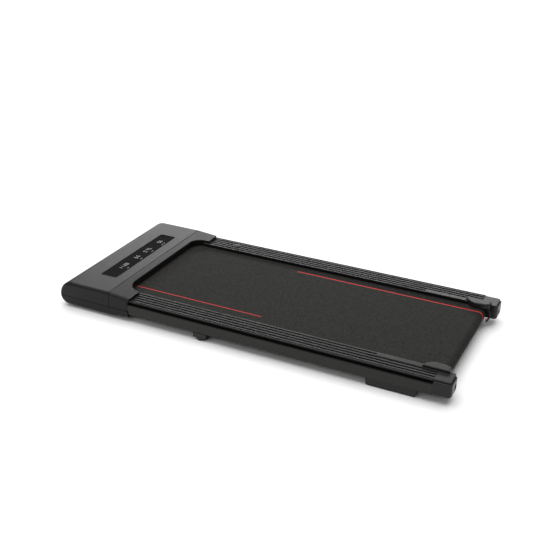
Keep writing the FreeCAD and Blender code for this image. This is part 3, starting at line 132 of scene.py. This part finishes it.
class Finish(Net):
    """A material with one principled shader, patterned in the piece's own coordinates."""

    def __init__(self, name, constants):
        self.material = bpy.data.materials.new(name)
        self.material.use_nodes = True
        super().__init__(self.material.node_tree)
        self.shader = self.tree.nodes["Principled BSDF"]
        self.spot = self.node("ShaderNodeTexCoord", out="Object")
        for socket, value in constants.items():
            self.shader.inputs[socket].default_value = value

    def give(self, **values):
        for name, value in values.items():
            self.feed(self.shader.inputs[name.replace("_", " ").title()], value)

    def along(self, axes):
        """The spot's place along each named axis."""
        return [self.node("ShaderNodeSeparateXYZ", sockets={0: self.spot}, out=axis)
                for axis in axes]

    def stretched(self, scale):
        """The spot with each axis scaled, so that a pattern runs along one of them."""
        return self.node("ShaderNodeMapping", sockets={"Vector": self.spot, "Scale": scale})

    def noise(self, scale, detail=2.0, where=None):
        """Soft noise between -1 and 1, with that many bumps to the metre."""
        sockets = {"Vector": where or self.spot, "Scale": scale, "Detail": detail}
        return self.node("ShaderNodeTexNoise", sockets=sockets) * 2 - 1

    def pebbles(self, scale):
        sockets = {"Vector": self.spot, "Scale": scale, "Smoothness": PEBBLE_SMOOTHNESS}
        return self.node("ShaderNodeTexVoronoi", {"feature": "SMOOTH_F1"}, sockets, out="Distance")

    def distance(self, *pairs):
        """How far a place is from a centre, from a pair of values along each axis."""
        squares = [(place - centre) * (place - centre) for place, centre in pairs]
        return sum(squares[1:], squares[0]).root()

    def mixed(self, share, first, second):
        sockets = {MIX_SHARE: share, MIX_FIRST: first, MIX_SECOND: second}
        return self.node("ShaderNodeMix", {"data_type": "RGBA"}, sockets, out=MIX_RESULT)

    def shaded(self, colour, change):
        """A colour made lighter or darker by a changing share."""
        dark = tuple(part * (1 - SHADE_REACH) for part in colour)
        light = tuple(part * (1 + SHADE_REACH) for part in colour)
        return self.mixed((change + 0.5).limited(), (*dark, 1.0), (*light, 1.0))

    def rounded(self, radius):
        """The normal with every hard edge rounded, and how near an edge is, from 0 to 1."""
        soft = self.node("ShaderNodeBevel", {"samples": BEVEL_SAMPLES}, {"Radius": radius})
        flat = self.node("ShaderNodeNewGeometry", out="Normal")
        along = self.node("ShaderNodeVectorMath", {"operation": "DOT_PRODUCT"},
                          {0: soft, 1: flat}, out="Value")
        return soft, ((1 - along) * EDGE_CONTRAST).limited()

    def bumped(self, height, distance, normal=None):
        sockets = {"Height": height, "Distance": distance, "Strength": 1.0}
        if normal:
            sockets["Normal"] = normal
        return self.node("ShaderNodeBump", sockets=sockets)


# Finishes

# Painted shade: a near-black colour, made rougher too, mixed in where a mask says a surface lies in
# shade.
PAINTED_SHADE = (0.0012, 0.0012, 0.0012, 1.0)
PAINTED_SHADE_ROUGHNESS = 0.45


def with_painted_shade(finish, shade_mask, base, roughness):
    """The colour and roughness made near black and rougher as painted shade, where the mask says."""
    if not shade_mask:
        return base, roughness
    shade_share = shade_mask(finish)
    return finish.mixed(shade_share, base, PAINTED_SHADE), roughness + shade_share * PAINTED_SHADE_ROUGHNESS


def moulded(name, colour, rough, grain=1400.0, relief=0.000012, gloss=0.5, shade_mask=None):
    """Spark-grained plastic, a little cloudy, with lighter edges, and painted shade where a shade
    mask is given.
    """
    finish = Finish(name, {"Specular IOR Level": gloss})
    cloud = finish.noise(9.0, 3.0)
    speck = finish.noise(grain / 2, 1.0)
    soft, near_edge = finish.rounded(0.0006)
    base = finish.shaded(colour, cloud * 0.06 + speck * 0.08 + near_edge * 0.25)
    roughness = rough + finish.noise(45.0, 3.0) * 0.04 + speck * 0.05 - near_edge * 0.06
    base, roughness = with_painted_shade(finish, shade_mask, base, roughness)
    finish.give(base_color=base, roughness=roughness,
                normal=finish.bumped(finish.pebbles(grain), relief, soft))
    return finish.material


def shade_in_parting_gap(finish):
    """Painted shade along the gap at the joint between the head's pan and its covers."""
    [z] = finish.along("Z")
    middle = (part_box("head_pan")[1].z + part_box("hood_front_cover")[0].z) / 2
    half, blur = 0.0011, 0.0004
    return ((half - abs(z - middle)) / blur).limited()


def shade_between_ribs(finish):
    """Painted shade down in the grooves of the foot rails and on the walls below them."""
    [z] = finish.along("Z")
    crest, clean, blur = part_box("left_foot_rail")[1].z, 0.0006, 0.0016
    return ((crest - clean - z) / blur).limited()


def shade_under_lip(finish):
    """Painted shade along the top edge of the side members, under the lip of the foot rails."""
    [z] = finish.along("Z")
    top, band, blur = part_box("left_side_member")[1].z, 0.0030, 0.0008
    return ((z - top + band) / blur).limited()


def powder_coated(name, colour, rough, shade_mask=None):
    """Baked powder paint with a fine orange peel, and painted shade where a shade mask is given."""
    finish = Finish(name, {"Specular IOR Level": 0.24})
    peel = finish.noise(380.0, 2.0)
    soft, near_edge = finish.rounded(0.0008)
    cloud = finish.noise(7.0, 2.0)
    base = finish.shaded(colour, cloud * 0.08 + peel * 0.05 + near_edge * 0.3)
    base, roughness = with_painted_shade(finish, shade_mask, base, rough + finish.noise(60.0, 2.0) * 0.05)
    finish.give(base_color=base, roughness=roughness, normal=finish.bumped(peel, 0.00003, soft))
    return finish.material


def rubber(name, colour, rough, relief=0.00002):
    """Matt rubber with a dry bloom and a fine pebble."""
    finish = Finish(name, {"Specular IOR Level": 0.3, "Sheen Weight": 0.05})
    bloom = finish.noise(35.0, 4.0)
    soft, near_edge = finish.rounded(0.0006)
    finish.give(base_color=finish.shaded(colour, bloom * 0.12 + near_edge * 0.15),
                roughness=rough + bloom * 0.06,
                normal=finish.bumped(finish.pebbles(900.0), relief, soft))
    return finish.material


def metal(name, colour, rough, brushed=(1.0, 1.0, 1.0)):
    """Bare or plated metal with fine tool marks along one way and light stains."""
    finish = Finish(name, {"Metallic": 1.0})
    marks = finish.noise(400.0, 3.0, finish.stretched(brushed))
    stain = finish.noise(24.0, 4.0)
    soft, near_edge = finish.rounded(0.0004)
    finish.give(base_color=finish.shaded(colour, stain * 0.08 + marks * 0.06 + near_edge * 0.1),
                roughness=rough + marks * 0.07 + stain * 0.05,
                normal=finish.bumped(marks, 0.000008, soft))
    return finish.material


BELT_PRINT = (0.56, 0.030, 0.030, 1.0)


def belt_cover():
    """Pebbled, mottled rubber with two printed red lines, one turning in over the rear roller."""
    finish = Finish("belt_cover", {"Specular IOR Level": 0.12})
    x, y, z = finish.along("XYZ")
    low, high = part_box("rear_axle")
    axle_x, _, axle_z = (low + high) / 2
    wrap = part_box("running_belt")[1].x - axle_x
    turn = (x - axle_x).math("ARCTAN2", z - axle_z)
    along = x + (x > axle_x) * (turn * wrap + axle_x - x)
    near_half, far_half, blur = 0.0014, 0.0019, 0.0003
    near_y, near_start, near_end = 0.150, -0.43, 0.018
    far_y, far_start = 0.167, -0.015
    bend_x, bend_y, bend = 0.579, 0.137, 0.030
    near = abs(y + near_y)
    near_run = (x > near_start) * (x < near_end)
    far = abs(y - far_y)
    far_run = (along > far_start) * (along < bend_x)
    away = finish.distance((along, bend_x), (y, bend_y))
    bend_run = (along > bend_x) * (y > bend_y)
    lines = 0
    for half, distance, run in ((near_half, near, near_run), (far_half, far, far_run),
                                (far_half, abs(away - bend), bend_run)):
        lines = ((half - distance) / blur + 0.5).limited() * run + lines
    lines = lines * (z > axle_z - wrap / 2) * (0.93 + finish.noise(500.0) * 0.14)
    mottle = finish.noise(240.0, 2.0)
    streak = finish.noise(1.0, 3.0, finish.stretched((4.0, 60.0, 4.0)))
    pebble = finish.pebbles(750.0)
    change = mottle * 1.35 + streak * 0.08 + pebble * 0.3 - 0.12
    rubber_colour = finish.shaded((0.0160, 0.0158, 0.0142), change)
    finish.give(base_color=finish.mixed(lines.limited(), rubber_colour, BELT_PRINT),
                roughness=0.82 + mottle * 0.06 - lines * 0.2,
                normal=finish.bumped(pebble, 0.00006))
    return finish.material


def smoked_lens():
    """The display's dark satin cover, with fine rubbing marks and a faint film of dust."""
    finish = Finish("smoked_lens", {"Specular IOR Level": 0.0})
    rub = finish.noise(900.0, 2.0, finish.stretched((1.0, 0.08, 1.0)))
    dust = finish.noise(60.0, 5.0)
    finish.give(base_color=finish.shaded((0.014, 0.014, 0.014), dust * 0.1),
                roughness=0.42 + dust * 0.05 + rub * 0.04,
                normal=finish.bumped(rub, 0.000002))
    return finish.material


def red_window():
    """The receiver's clear red window, deeper in colour towards its rim, with a faint painted glow
    of its own red.
    """
    finish = Finish("red_window", {"Specular IOR Level": 0.5, "Emission Strength": 0.05})
    y, z = finish.along("YZ")
    low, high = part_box("infrared_window")
    centre = (low + high) / 2
    rim = finish.distance((y, centre.y), (z, centre.z)) / (high.y - centre.y)
    depth = (rim + finish.noise(700.0) * 0.1).limited()
    red = finish.mixed(depth, (0.75, 0.02, 0.02, 1.0), (0.20, 0.004, 0.004, 1.0))
    # Painted glow: the window gives off a little of its own red light.
    finish.give(base_color=red, emission_color=red, roughness=0.15 + rim * 0.1)
    return finish.material


def lit_segments():
    """White display segments with a slightly uneven glow."""
    finish = Finish("lit_segments", {"Emission Strength": 0.45, "Roughness": 0.5})
    glow = finish.shaded((0.42, 0.43, 0.45), finish.noise(350.0) * 0.25)
    finish.give(base_color=glow, emission_color=glow)
    return finish.material


def fibreboard():
    """Laminated deck board: a brown fibrous core."""
    finish = Finish("fibreboard", {"Specular IOR Level": 0.3})
    fibre = finish.noise(260.0, 4.0, finish.stretched((0.3, 1.0, 3.0)))
    cloud = finish.noise(12.0)
    finish.give(base_color=finish.shaded((0.24, 0.15, 0.085), fibre * 0.35 + cloud * 0.1),
                roughness=0.68 + fibre * 0.1,
                normal=finish.bumped(fibre, 0.00003))
    return finish.material


def solder_mask():
    """Green lacquered board with copper tracks showing through."""
    finish = Finish("solder_mask", {"Specular IOR Level": 0.6})
    black, white = (0.0, 0.0, 0.0, 1.0), (1.0, 1.0, 1.0, 1.0)
    lacquer, track = (0.012, 0.085, 0.035, 1.0), (0.035, 0.17, 0.07, 1.0)
    tracks = finish.node("ShaderNodeTexBrick", {"offset": 0.37}, {
        "Vector": finish.spot, "Scale": 110.0, "Mortar Size": 0.045, "Color1": black,
        "Color2": black, "Mortar": white}, out="Fac")
    finish.give(base_color=finish.mixed(tracks, lacquer, track),
                roughness=0.34 + finish.noise(80.0, 3.0) * 0.07,
                normal=finish.bumped(tracks, 0.00003))
    return finish.material


FINISHES = {
    # The shell gets painted shade in the gap along its parting line.
    "shell_plastic": moulded("shell_plastic", (0.0080, 0.0080, 0.0078), 0.40, gloss=0.18,
                             shade_mask=shade_in_parting_gap),
    "cap_plastic": moulded("cap_plastic", (0.013, 0.013, 0.0126), 0.36, gloss=0.22),
    # The rails get painted shade in their grooves.
    "rail_plastic": moulded("rail_plastic", (0.0125, 0.0125, 0.0121), 0.44, grain=1100.0, gloss=0.23,
                            shade_mask=shade_between_ribs),
    "lens_plastic": smoked_lens(),
    "red_lens": red_window(),
    # The side members get a painted shade band under the rails' lip.
    "member_paint": powder_coated("member_paint", (0.0145, 0.014, 0.0125), 0.22, shade_under_lip),
    "frame_paint": powder_coated("frame_paint", (0.024, 0.024, 0.024), 0.5),
    "steel": metal("zinc_plate", (0.50, 0.50, 0.50), 0.34, (1.0, 0.06, 1.0)),
    "iron": metal("laminated_iron", (0.16, 0.155, 0.15), 0.5, (0.2, 4.0, 0.2)),
    "alloy": metal("cast_alloy", (0.62, 0.62, 0.63), 0.4),
    "belt_rubber": belt_cover(),
    "drive_rubber": rubber("drive_rubber", (0.014, 0.014, 0.014), 0.7),
    "foot_rubber": rubber("foot_rubber", (0.024, 0.024, 0.023), 0.75),
    "tyre_rubber": rubber("tyre_rubber", (0.020, 0.020, 0.020), 0.6),
    "deck_board": fibreboard(),
    "inner_plastic": moulded("inner_plastic", (0.035, 0.035, 0.037), 0.5),
    "circuit_board": solder_mask(),
    "switch_plastic": moulded("switch_plastic", (0.012, 0.012, 0.012), 0.22, grain=2500.0,
                              relief=0.000004),
    "pin_brass": metal("pin_brass", (0.62, 0.47, 0.20), 0.3, (0.1, 1.0, 1.0)),
    "lead_sleeve": rubber("lead_sleeve", (0.012, 0.012, 0.012), 0.55, relief=0.000005),
}
LIT = lit_segments()

for part in frame["record"]["subparts"]:
    materials = nodes[part["node"]].data.materials
    materials.clear()
    materials.append(FINISHES[part["material_slot"]])


# Pieces

SHARP_EDGE = math.radians(32)
MERGE_DISTANCE = 1e-7
ROUND_POINTS = 24


def put(name, mesh, body, slot, replaced=(), finish=None):
    """A finished mesh as a piece on a body, in a slot's finish."""
    piece = bpy.data.objects.new(name, mesh)
    bpy.context.scene.collection.objects.link(piece)
    if finish or not mesh.materials:
        mesh.materials.clear()
        mesh.materials.append(finish or FINISHES[slot])
    mesh.shade_smooth()
    mesh.set_sharp_from_angle(angle=SHARP_EDGE)
    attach(piece, body)
    if replaced:
        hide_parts(*replaced)


def drawn(vertices, faces):
    """A plain mesh with its doubles merged and its faces pointing out."""
    build = bmesh.new()
    points = [build.verts.new(vertex) for vertex in vertices]
    for face in faces:
        build.faces.new([points[index] for index in face])
    bmesh.ops.remove_doubles(build, verts=build.verts, dist=MERGE_DISTANCE)
    bmesh.ops.recalc_face_normals(build, faces=build.faces)
    mesh = bpy.data.meshes.new("drawn")
    build.to_mesh(mesh)
    build.free()
    return mesh


def walls(count, rows, first=0, closed=False):
    """Faces between rows of that many points each, and from the last row to the first if closed."""
    faces = []
    for row in range(rows if closed else rows - 1):
        here, there = first + row * count, first + (row + 1) % rows * count
        for index in range(count):
            after = (index + 1) % count
            faces.append((here + index, here + after, there + after, there + index))
    return faces


def swept(outline, low, high):
    """A closed (y, z) outline drawn along X."""
    count = len(outline)
    vertices = [(x, y, z) for x in (low, high) for y, z in outline]
    ends = [tuple(range(count)), tuple(range(count, 2 * count))]
    return drawn(vertices, ends + walls(count, 2))


def ringed(radius, level):
    """Points round a circle at one level."""
    turns = [math.tau * index / ROUND_POINTS for index in range(ROUND_POINTS)]
    return [(radius * math.cos(turn), radius * math.sin(turn), level) for turn in turns]


def eased(corners):
    """An outline from (u, v, radius) corners, each rounded by its radius."""
    steps = 4
    outline = []
    for index, (u, v, radius) in enumerate(corners):
        corner = Vector((u, v))
        before = (Vector(corners[index - 1][:2]) - corner).normalized()
        after = (Vector(corners[(index + 1) % len(corners)][:2]) - corner).normalized()
        if not radius:
            outline.append((u, v))
            continue
        half = before.angle(after) / 2
        middle = corner + (before + after).normalized() * (radius / math.sin(half))
        start = corner + before * (radius / math.tan(half)) - middle
        end = corner + after * (radius / math.tan(half)) - middle
        for step in range(steps + 1):
            spoke = start.normalized().slerp(end.normalized(), step / steps)
            outline.append(tuple(middle + spoke * radius))
    return outline


SOCKET_KINDS = {int: "NodeSocketInt", float: "NodeSocketFloat", bpy.types.Object: "NodeSocketObject"}


class Pattern(Net):
    """A Geometry Nodes tree with named inputs, made into a plain mesh."""

    def __init__(self, name, **inputs):
        super().__init__(bpy.data.node_groups.new(name, "GeometryNodeTree"))
        self.socket("Geometry", "NodeSocketGeometry")
        self.inputs = {name: self.socket(name.replace("_", " ").capitalize(), SOCKET_KINDS[kind])
                       for name, kind in inputs.items()}
        self.inputs["finish"] = self.socket("Finish", "NodeSocketMaterial")
        self.socket("Geometry", "NodeSocketGeometry", "OUTPUT")
        group = self.tree.nodes.new("NodeGroupInput")
        self.base = Value(self, group.outputs["Geometry"])
        for name, socket in self.inputs.items():
            setattr(self, name, Value(self, group.outputs[socket.name]))

    def socket(self, name, kind, way="INPUT"):
        return self.tree.interface.new_socket(name, in_out=way, socket_type=kind)

    def close(self, geometry):
        """Ends the tree: the geometry made real, in the finish."""
        real = self.node("GeometryNodeRealizeInstances", sockets={0: geometry})
        dressed = self.node("GeometryNodeSetMaterial",
                            sockets={"Geometry": real, "Material": self.finish})
        out = self.tree.nodes.new("NodeGroupOutput")
        self.feed(out.inputs[0], dressed)

    def make(self, base=None, **values):
        """The pattern's mesh for these input values, over a base mesh if one is given."""
        carrier = bpy.data.objects.new("carrier", base or bpy.data.meshes.new("empty"))
        bpy.context.scene.collection.objects.link(carrier)
        modifier = carrier.modifiers.new("pattern", "NODES")
        modifier.node_group = self.tree
        for name, value in values.items():
            modifier[self.inputs[name].identifier] = value
        graph = bpy.context.evaluated_depsgraph_get()
        mesh = bpy.data.meshes.new_from_object(carrier.evaluated_get(graph))
        carrier.modifiers.remove(modifier)
        bpy.data.objects.remove(carrier)
        return mesh


# Foot rails: a bed with rounded edge ribs, and the inner ribs as a pattern


def rib_pattern():
    """Straight rounded ribs at one pitch, each a crest outline drawn along a line."""
    tree = Pattern("rail_ribs", count=int, pitch=float, length=float, base_width=float,
                   crest_width=float, height=float, crest_radius=float)
    crest = tree.node("GeometryNodeCurvePrimitiveQuadrilateral", {"mode": "TRAPEZOID"}, {
        "Height": tree.height, "Bottom Width": tree.crest_width, "Top Width": tree.base_width,
        "Offset": 0.0})
    crest = tree.node("GeometryNodeFilletCurve", {"mode": "POLY"}, {
        "Curve": crest, "Count": 4, "Radius": tree.crest_radius, "Limit Radius": True})
    end = tree.node("ShaderNodeCombineXYZ", sockets={"X": tree.length})
    path = tree.node("GeometryNodeCurvePrimitiveLine", sockets={"End": end})
    rib = tree.node("GeometryNodeCurveToMesh", sockets={
        "Curve": path, "Profile Curve": crest, "Fill Caps": True})
    step = tree.node("ShaderNodeCombineXYZ", sockets={"Y": tree.pitch})
    places = tree.node("GeometryNodeMeshLine", sockets={"Count": tree.count, "Offset": step})
    tree.close(tree.node("GeometryNodeInstanceOnPoints",
                         sockets={"Points": places, "Instance": rib}))
    return tree


def dress_rails():
    """Each rail as a bed with an edge rib along either side, and the inner ribs set into it."""
    ribs = rib_pattern()
    rib, draft, groove, pitch, edge_rib, inner_ribs = 0.0062, 0.0007, 0.003, 0.0125, 0.003, 4
    skirt_rise, skirt_wall, web_depth, lip_depth = 0.0033, 0.003, 0.0055, 0.0045
    leg_inset, leg_wall, deck_leg_inset, deck_leg_wall = 0.0085, 0.004, 0.0385, 0.003
    crest, toe, brim, hem, inner_crest = 0.001, 0.0005, 0.0008, 0.0004, 0.0009
    rooted = 0.0008
    sunk = groove + rooted
    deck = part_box("running_deck")[1].z
    for hand, side in (("left", -1), ("right", 1)):
        low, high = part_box(f"{hand}_foot_rail")
        inner, outer = sorted((abs(low.y), abs(high.y)))
        top, seat = high.z, low.z
        skirt, floor, web, lip = deck + skirt_rise, top - groove, top - web_depth, top - lip_depth
        leg, deck_leg = outer - leg_inset, outer - deck_leg_inset
        bed = eased([
            (inner, skirt, hem), (inner, top, crest), (inner + rib, top, crest),
            (inner + rib + draft, floor, toe), (outer - edge_rib - draft, floor, toe),
            (outer - edge_rib, top, brim), (outer, top, crest), (outer, lip, brim), (leg, lip, 0),
            (leg, seat, 0), (leg - leg_wall, seat, 0), (leg - leg_wall, web, 0),
            (deck_leg, web, 0), (deck_leg, deck, 0), (deck_leg - deck_leg_wall, deck, 0),
            (deck_leg - deck_leg_wall, web, 0), (inner + skirt_wall, web, 0),
            (inner + skirt_wall, skirt, hem)])
        put(f"{hand}_rail_bed", swept([(y * side, z) for y, z in bed], low.x, high.x), "frame",
            "rail_plastic", [f"{hand}_foot_rail"])
        mesh = ribs.make(count=inner_ribs, pitch=pitch, length=high.x - low.x,
                         base_width=rib + 2 * draft, crest_width=rib, height=sunk,
                         crest_radius=inner_crest, finish=FINISHES["rail_plastic"])
        first = inner + rib / 2 + pitch
        if side < 0:
            first = -(first + pitch * (inner_ribs - 1))
        mesh.transform(Matrix.Translation((low.x, first, top - sunk / 2)))
        put(f"{hand}_rail_ribs", mesh, "frame", "rail_plastic")


# Display: lit digits with a caption under each group


def light_pattern():
    """Six-sided lights on points that carry their own size and turn."""
    tree = Pattern("display_lights", thickness=float)
    light = tree.node("GeometryNodeMeshCylinder", sockets={
        "Vertices": 6, "Radius": 0.5, "Depth": tree.thickness})
    kind = "GeometryNodeInputNamedAttribute"
    size = tree.node(kind, {"data_type": "FLOAT_VECTOR"}, {"Name": "size"})
    turn = tree.node(kind, {"data_type": "FLOAT"}, {"Name": "turn"})
    way = tree.node("ShaderNodeCombineXYZ", sockets={"Z": turn})
    tree.close(tree.node("GeometryNodeInstanceOnPoints", sockets={
        "Points": tree.base, "Instance": light, "Rotation": way, "Scale": size}))
    return tree


# The seven lights of a digit, to the right and up in shares of its size: top, upper right, lower
# right, bottom, lower left, upper left and middle, and which of them are lit.
LIGHT_PLACES = ((0, 0.5), (0.5, 0.25), (0.5, -0.25), (0, -0.5), (-0.5, -0.25), (-0.5, 0.25), (0, 0))
DIGITS = {"0": "1111110", "1": "0110000", "2": "1101101", "3": "1111001", "5": "1011011",
          "6": "1011111", "7": "1110000", "8": "1111111"}
# The dots of a mark, up in shares of the digits' height.
MARKS = {":": (-0.22, 0.22), ".": (-0.5,)}
# Each group: its digits, the middle of them across the pad, its caption and the caption's middle.
READINGS = (("11:28", -0.088, "TIME", -0.092), ("3.6", -0.013, "SPEED", -0.018),
            ("0.75", 0.047, "DIST", 0.048), ("56", 0.121, "CALORIES", 0.112))


def digit_lights(text, middle, centre_x):
    """Points, turns and sizes of the lights of one reading, read by a user who faces the head."""
    width, height, stroke, step, mark_step = 0.0066, 0.0120, 0.0012, 0.0104, 0.0042
    dot = stroke * 1.1
    length = sum(mark_step if sign in MARKS else step for sign in text)
    places, turns, sizes = [], [], []
    start = middle - length / 2
    for sign in text:
        if sign in MARKS:
            for row in MARKS[sign]:
                places.append((centre_x - row * height, start + mark_step / 2, 0.0))
                turns.append(0.0)
                sizes.append((dot, dot, 1.0))
            start += mark_step
            continue
        across = start + step / 2
        for lit, (right, up) in zip(DIGITS[sign], LIGHT_PLACES):
            if lit == "1":
                upright = right != 0
                places.append((centre_x - up * height, across + right * width, 0.0))
                turns.append(0.0 if upright else math.pi / 2)
                sizes.append((height / 2 if upright else width, stroke, 1.0))
        start += step
    return places, turns, sizes


def joined(*meshes):
    """One mesh from several."""
    build = bmesh.new()
    for mesh in meshes:
        build.from_mesh(mesh)
    made = bpy.data.meshes.new("joined")
    build.to_mesh(made)
    build.free()
    return made


def lettered(word, size, thickness):
    """A word as a flat solid mesh, centred on the origin."""
    curve = bpy.data.curves.new("caption", "FONT")
    curve.body = word
    curve.size = size
    curve.align_x = "CENTER"
    curve.space_character = 1.35
    curve.extrude = thickness / 2
    curve.resolution_u = 3
    carrier = bpy.data.objects.new("caption", curve)
    bpy.context.scene.collection.objects.link(carrier)
    graph = bpy.context.evaluated_depsgraph_get()
    mesh = bpy.data.meshes.new_from_object(carrier.evaluated_get(graph))
    bpy.data.objects.remove(carrier)
    return mesh


def dress_display():
    """The lit readings and their captions, just proud of the lens."""
    low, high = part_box("display_lens")
    thickness, proud = 0.00016, 0.00009
    digit_shift, caption_size, caption_inset = 0.0017, 0.0037, 0.0097
    level = high.z + proud - thickness / 2
    quarter_turn = Matrix.Rotation(math.pi / 2, 4, "Z")
    lights = light_pattern()
    pieces = []
    for text, middle, caption, under in READINGS:
        places, turns, sizes = digit_lights(text, middle, (low.x + high.x) / 2 - digit_shift)
        points = bpy.data.meshes.new("lights")
        points.from_pydata(places, [], [])
        points.attributes.new("turn", "FLOAT", "POINT").data.foreach_set("value", turns)
        points.attributes.new("size", "FLOAT_VECTOR", "POINT").data.foreach_set(
            "vector", [part for size in sizes for part in size])
        pieces.append(lights.make(points, thickness=thickness, finish=LIT))
        word = lettered(caption, caption_size, thickness)
        word.transform(Matrix.Translation((high.x - caption_inset, under, 0.0)) @ quarter_turn)
        pieces.append(word)
    readout = joined(*pieces)
    readout.transform(Matrix.Translation((0.0, 0.0, level)))
    put("display_readout", readout, "frame", "lens_plastic", finish=LIT)


# Screws under the head


def screw_pattern():
    """One screw set on every point."""
    tree = Pattern("screw_row", screw=bpy.types.Object)
    screw = tree.node("GeometryNodeObjectInfo", sockets={"Object": tree.screw}, out="Geometry")
    tree.close(tree.node("GeometryNodeInstanceOnPoints",
                         sockets={"Points": tree.base, "Instance": screw}))
    return tree


def cross_screw(head_radius, head_height, shank_radius, length):
    """A pan-head screw pointing up from its head's face at zero, with a cross recess in the face."""
    arm, half, depth = head_radius * 0.52, head_radius * 0.13, head_height * 0.6
    cross = [(half, half), (half, arm), (-half, arm), (-half, half), (-arm, half), (-arm, -half),
             (-half, -half), (-half, -arm), (half, -arm), (half, -half), (arm, -half), (arm, half)]
    dome = [(0.72, 0.0), (0.93, 0.18), (1.0, 0.5), (1.0, 1.0)]
    rings = [ringed(head_radius * across, head_height * up) for across, up in dome]
    rings += [ringed(shank_radius, head_height), ringed(shank_radius, length)]
    vertices = [point for ring in rings for point in ring]
    faces = walls(ROUND_POINTS, len(rings))
    faces.append(tuple(range(len(vertices) - ROUND_POINTS, len(vertices))))
    base, size = len(vertices), len(cross)
    vertices += [(x, y, level) for level in (0.0, depth) for x, y in cross]
    faces += walls(size, 2, base)
    faces.append(tuple(range(base + size, base + 2 * size)))
    rim, mouth = range(ROUND_POINTS), range(base, base + size)
    flat = [*rim, *mouth]
    loops = [[Vector(vertices[index]) for index in group] for group in (rim, mouth)]
    faces += [tuple(flat[index] for index in triangle) for triangle in tessellate_polygon(loops)]
    return drawn(vertices, faces)


def dress_screws():
    """The four screws of the pan, with their heads below it."""
    low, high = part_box("pan_screws")
    head, shank, pan = 0.004, 0.002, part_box("head_pan")[0].z
    carrier = bpy.data.objects.new("screw", cross_screw(head, pan - low.z, shank, high.z - low.z))
    bpy.context.scene.collection.objects.link(carrier)
    places = [(x, y, low.z) for x in (low.x + head, high.x - head)
              for y in (low.y + head, high.y - head)]
    points = bpy.data.meshes.new("places")
    points.from_pydata(places, [], [])
    mesh = screw_pattern().make(points, screw=carrier, finish=FINISHES["steel"])
    bpy.data.objects.remove(carrier)
    put("pan_screw_heads", mesh, "frame", "steel", ["pan_screws"])


# Marks on the power rocker


def dress_rocker():
    """A bar and a ring let into the two faces of the rocker."""
    low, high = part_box("rocker_switch")
    centre = (low + high) / 2
    pin_x, pin_z, tilt = -0.5984, 0.0575, math.radians(8)
    pivot = Matrix.Translation((pin_x, centre.y, pin_z)) @ Matrix.Rotation(tilt, 4, "Y")
    thickness, half_width, half_height, bore, rim = 0.00012, 0.0004, 0.0016, 0.0012, 0.0018
    corners = ((-half_width, -half_height), (half_width, -half_height),
               (half_width, half_height), (-half_width, half_height))
    bar = swept(corners, -thickness, thickness)
    rings = [ringed(radius, x) for radius, x in ((bore, -thickness), (rim, -thickness),
                                                 (rim, thickness), (bore, thickness))]
    ring = drawn([(x, y, z) for circle in rings for y, z, x in circle],
                 walls(ROUND_POINTS, len(rings), closed=True))
    dip, front, reach = 0.0016, 0.0032, 0.0084
    slope = math.atan2(dip, reach)
    for mesh, way in ((bar, 1), (ring, -1)):
        mesh.transform(pivot @ Matrix.Translation((dip / 2 - front, 0.0, way * reach / 2))
                       @ Matrix.Rotation(-slope * way, 4, "Y"))
    # The marks take the display's glowing finish, so they show a faint painted glow.
    put("rocker_marks", joined(bar, ring), "rocker", "switch_plastic", finish=LIT)


dress_rails()
dress_display()
dress_screws()
dress_rocker()


# Camera, floor and light


def camera_and_stage():
    """The camera, fitted to the outlines of the pad, and a pale floor."""
    focal_pixels, frame_pixels, sensor = 903.9, 560, 36.0
    camera = bpy.data.objects.new("photo_camera", bpy.data.cameras.new("photo_camera"))
    bpy.context.scene.collection.objects.link(camera)
    camera.data.sensor_width = sensor
    camera.data.lens = sensor * focal_pixels / frame_pixels
    camera.data.clip_end = 50.0
    right = Vector((0.89796, 0.43995, 0.00982))
    up = Vector((-0.20545, 0.39936, 0.89347))
    back = Vector((0.38917, -0.80432, 0.44900))
    turn = Matrix((right, up, back)).transposed().to_4x4()
    camera.matrix_world = Matrix.Translation((1.0644, -2.1901, 1.3319)) @ turn
    bpy.context.scene.camera = camera
    reach = 45.0
    corners = [(-reach, -reach, 0), (reach, -reach, 0), (reach, reach, 0), (-reach, reach, 0)]
    floor_mesh = drawn(corners, [(0, 1, 2, 3)])
    floor = bpy.data.objects.new("floor", floor_mesh)
    bpy.context.scene.collection.objects.link(floor)
    pale = Finish("pale_floor", {"Roughness": 0.9, "Specular IOR Level": 0.1})
    pale.give(base_color=pale.shaded((0.90, 0.90, 0.90), pale.noise(3.0) * 0.01))
    floor_mesh.materials.append(pale.material)


def soft_light(name, place, aim, size, power):
    """A panel of light at a place, facing an aim."""
    lamp = bpy.data.lights.new(name, "AREA")
    lamp.shape = "RECTANGLE"
    lamp.size, lamp.size_y = size
    lamp.energy = power
    light = bpy.data.objects.new(name, lamp)
    bpy.context.scene.collection.objects.link(light)
    light.location = place
    light.rotation_euler = (Vector(aim) - Vector(place)).to_track_quat("-Z", "Y").to_euler()


def light_up():
    """A dim white surround, a broad ceiling light and two panels."""
    world = bpy.data.worlds.new("studio")
    bpy.context.scene.world = world
    world.use_nodes = True
    surround = world.node_tree.nodes["Background"]
    surround.inputs["Color"].default_value = (1.0, 1.0, 1.0, 1.0)
    surround.inputs["Strength"].default_value = 0.15
    ceiling = bpy.data.lights.new("ceiling", "SUN")
    ceiling.energy = 3.1
    ceiling.angle = math.radians(70)
    lamp = bpy.data.objects.new("ceiling", ceiling)
    bpy.context.scene.collection.objects.link(lamp)
    lamp.rotation_euler = (math.radians(-4), math.radians(-4), 0.0)
    soft_light("far_panel", (-1.05, 2.7, 1.1), (-0.25, 0.0, 0.1), (3.8, 0.6), 48.0)
    soft_light("front_panel", (-0.6, -3.2, 2.2), (0.0, -0.4, 0.0), (3.6, 1.4), 32.0)
    bpy.context.scene.view_settings.view_transform = "Standard"


camera_and_stage()
light_up()
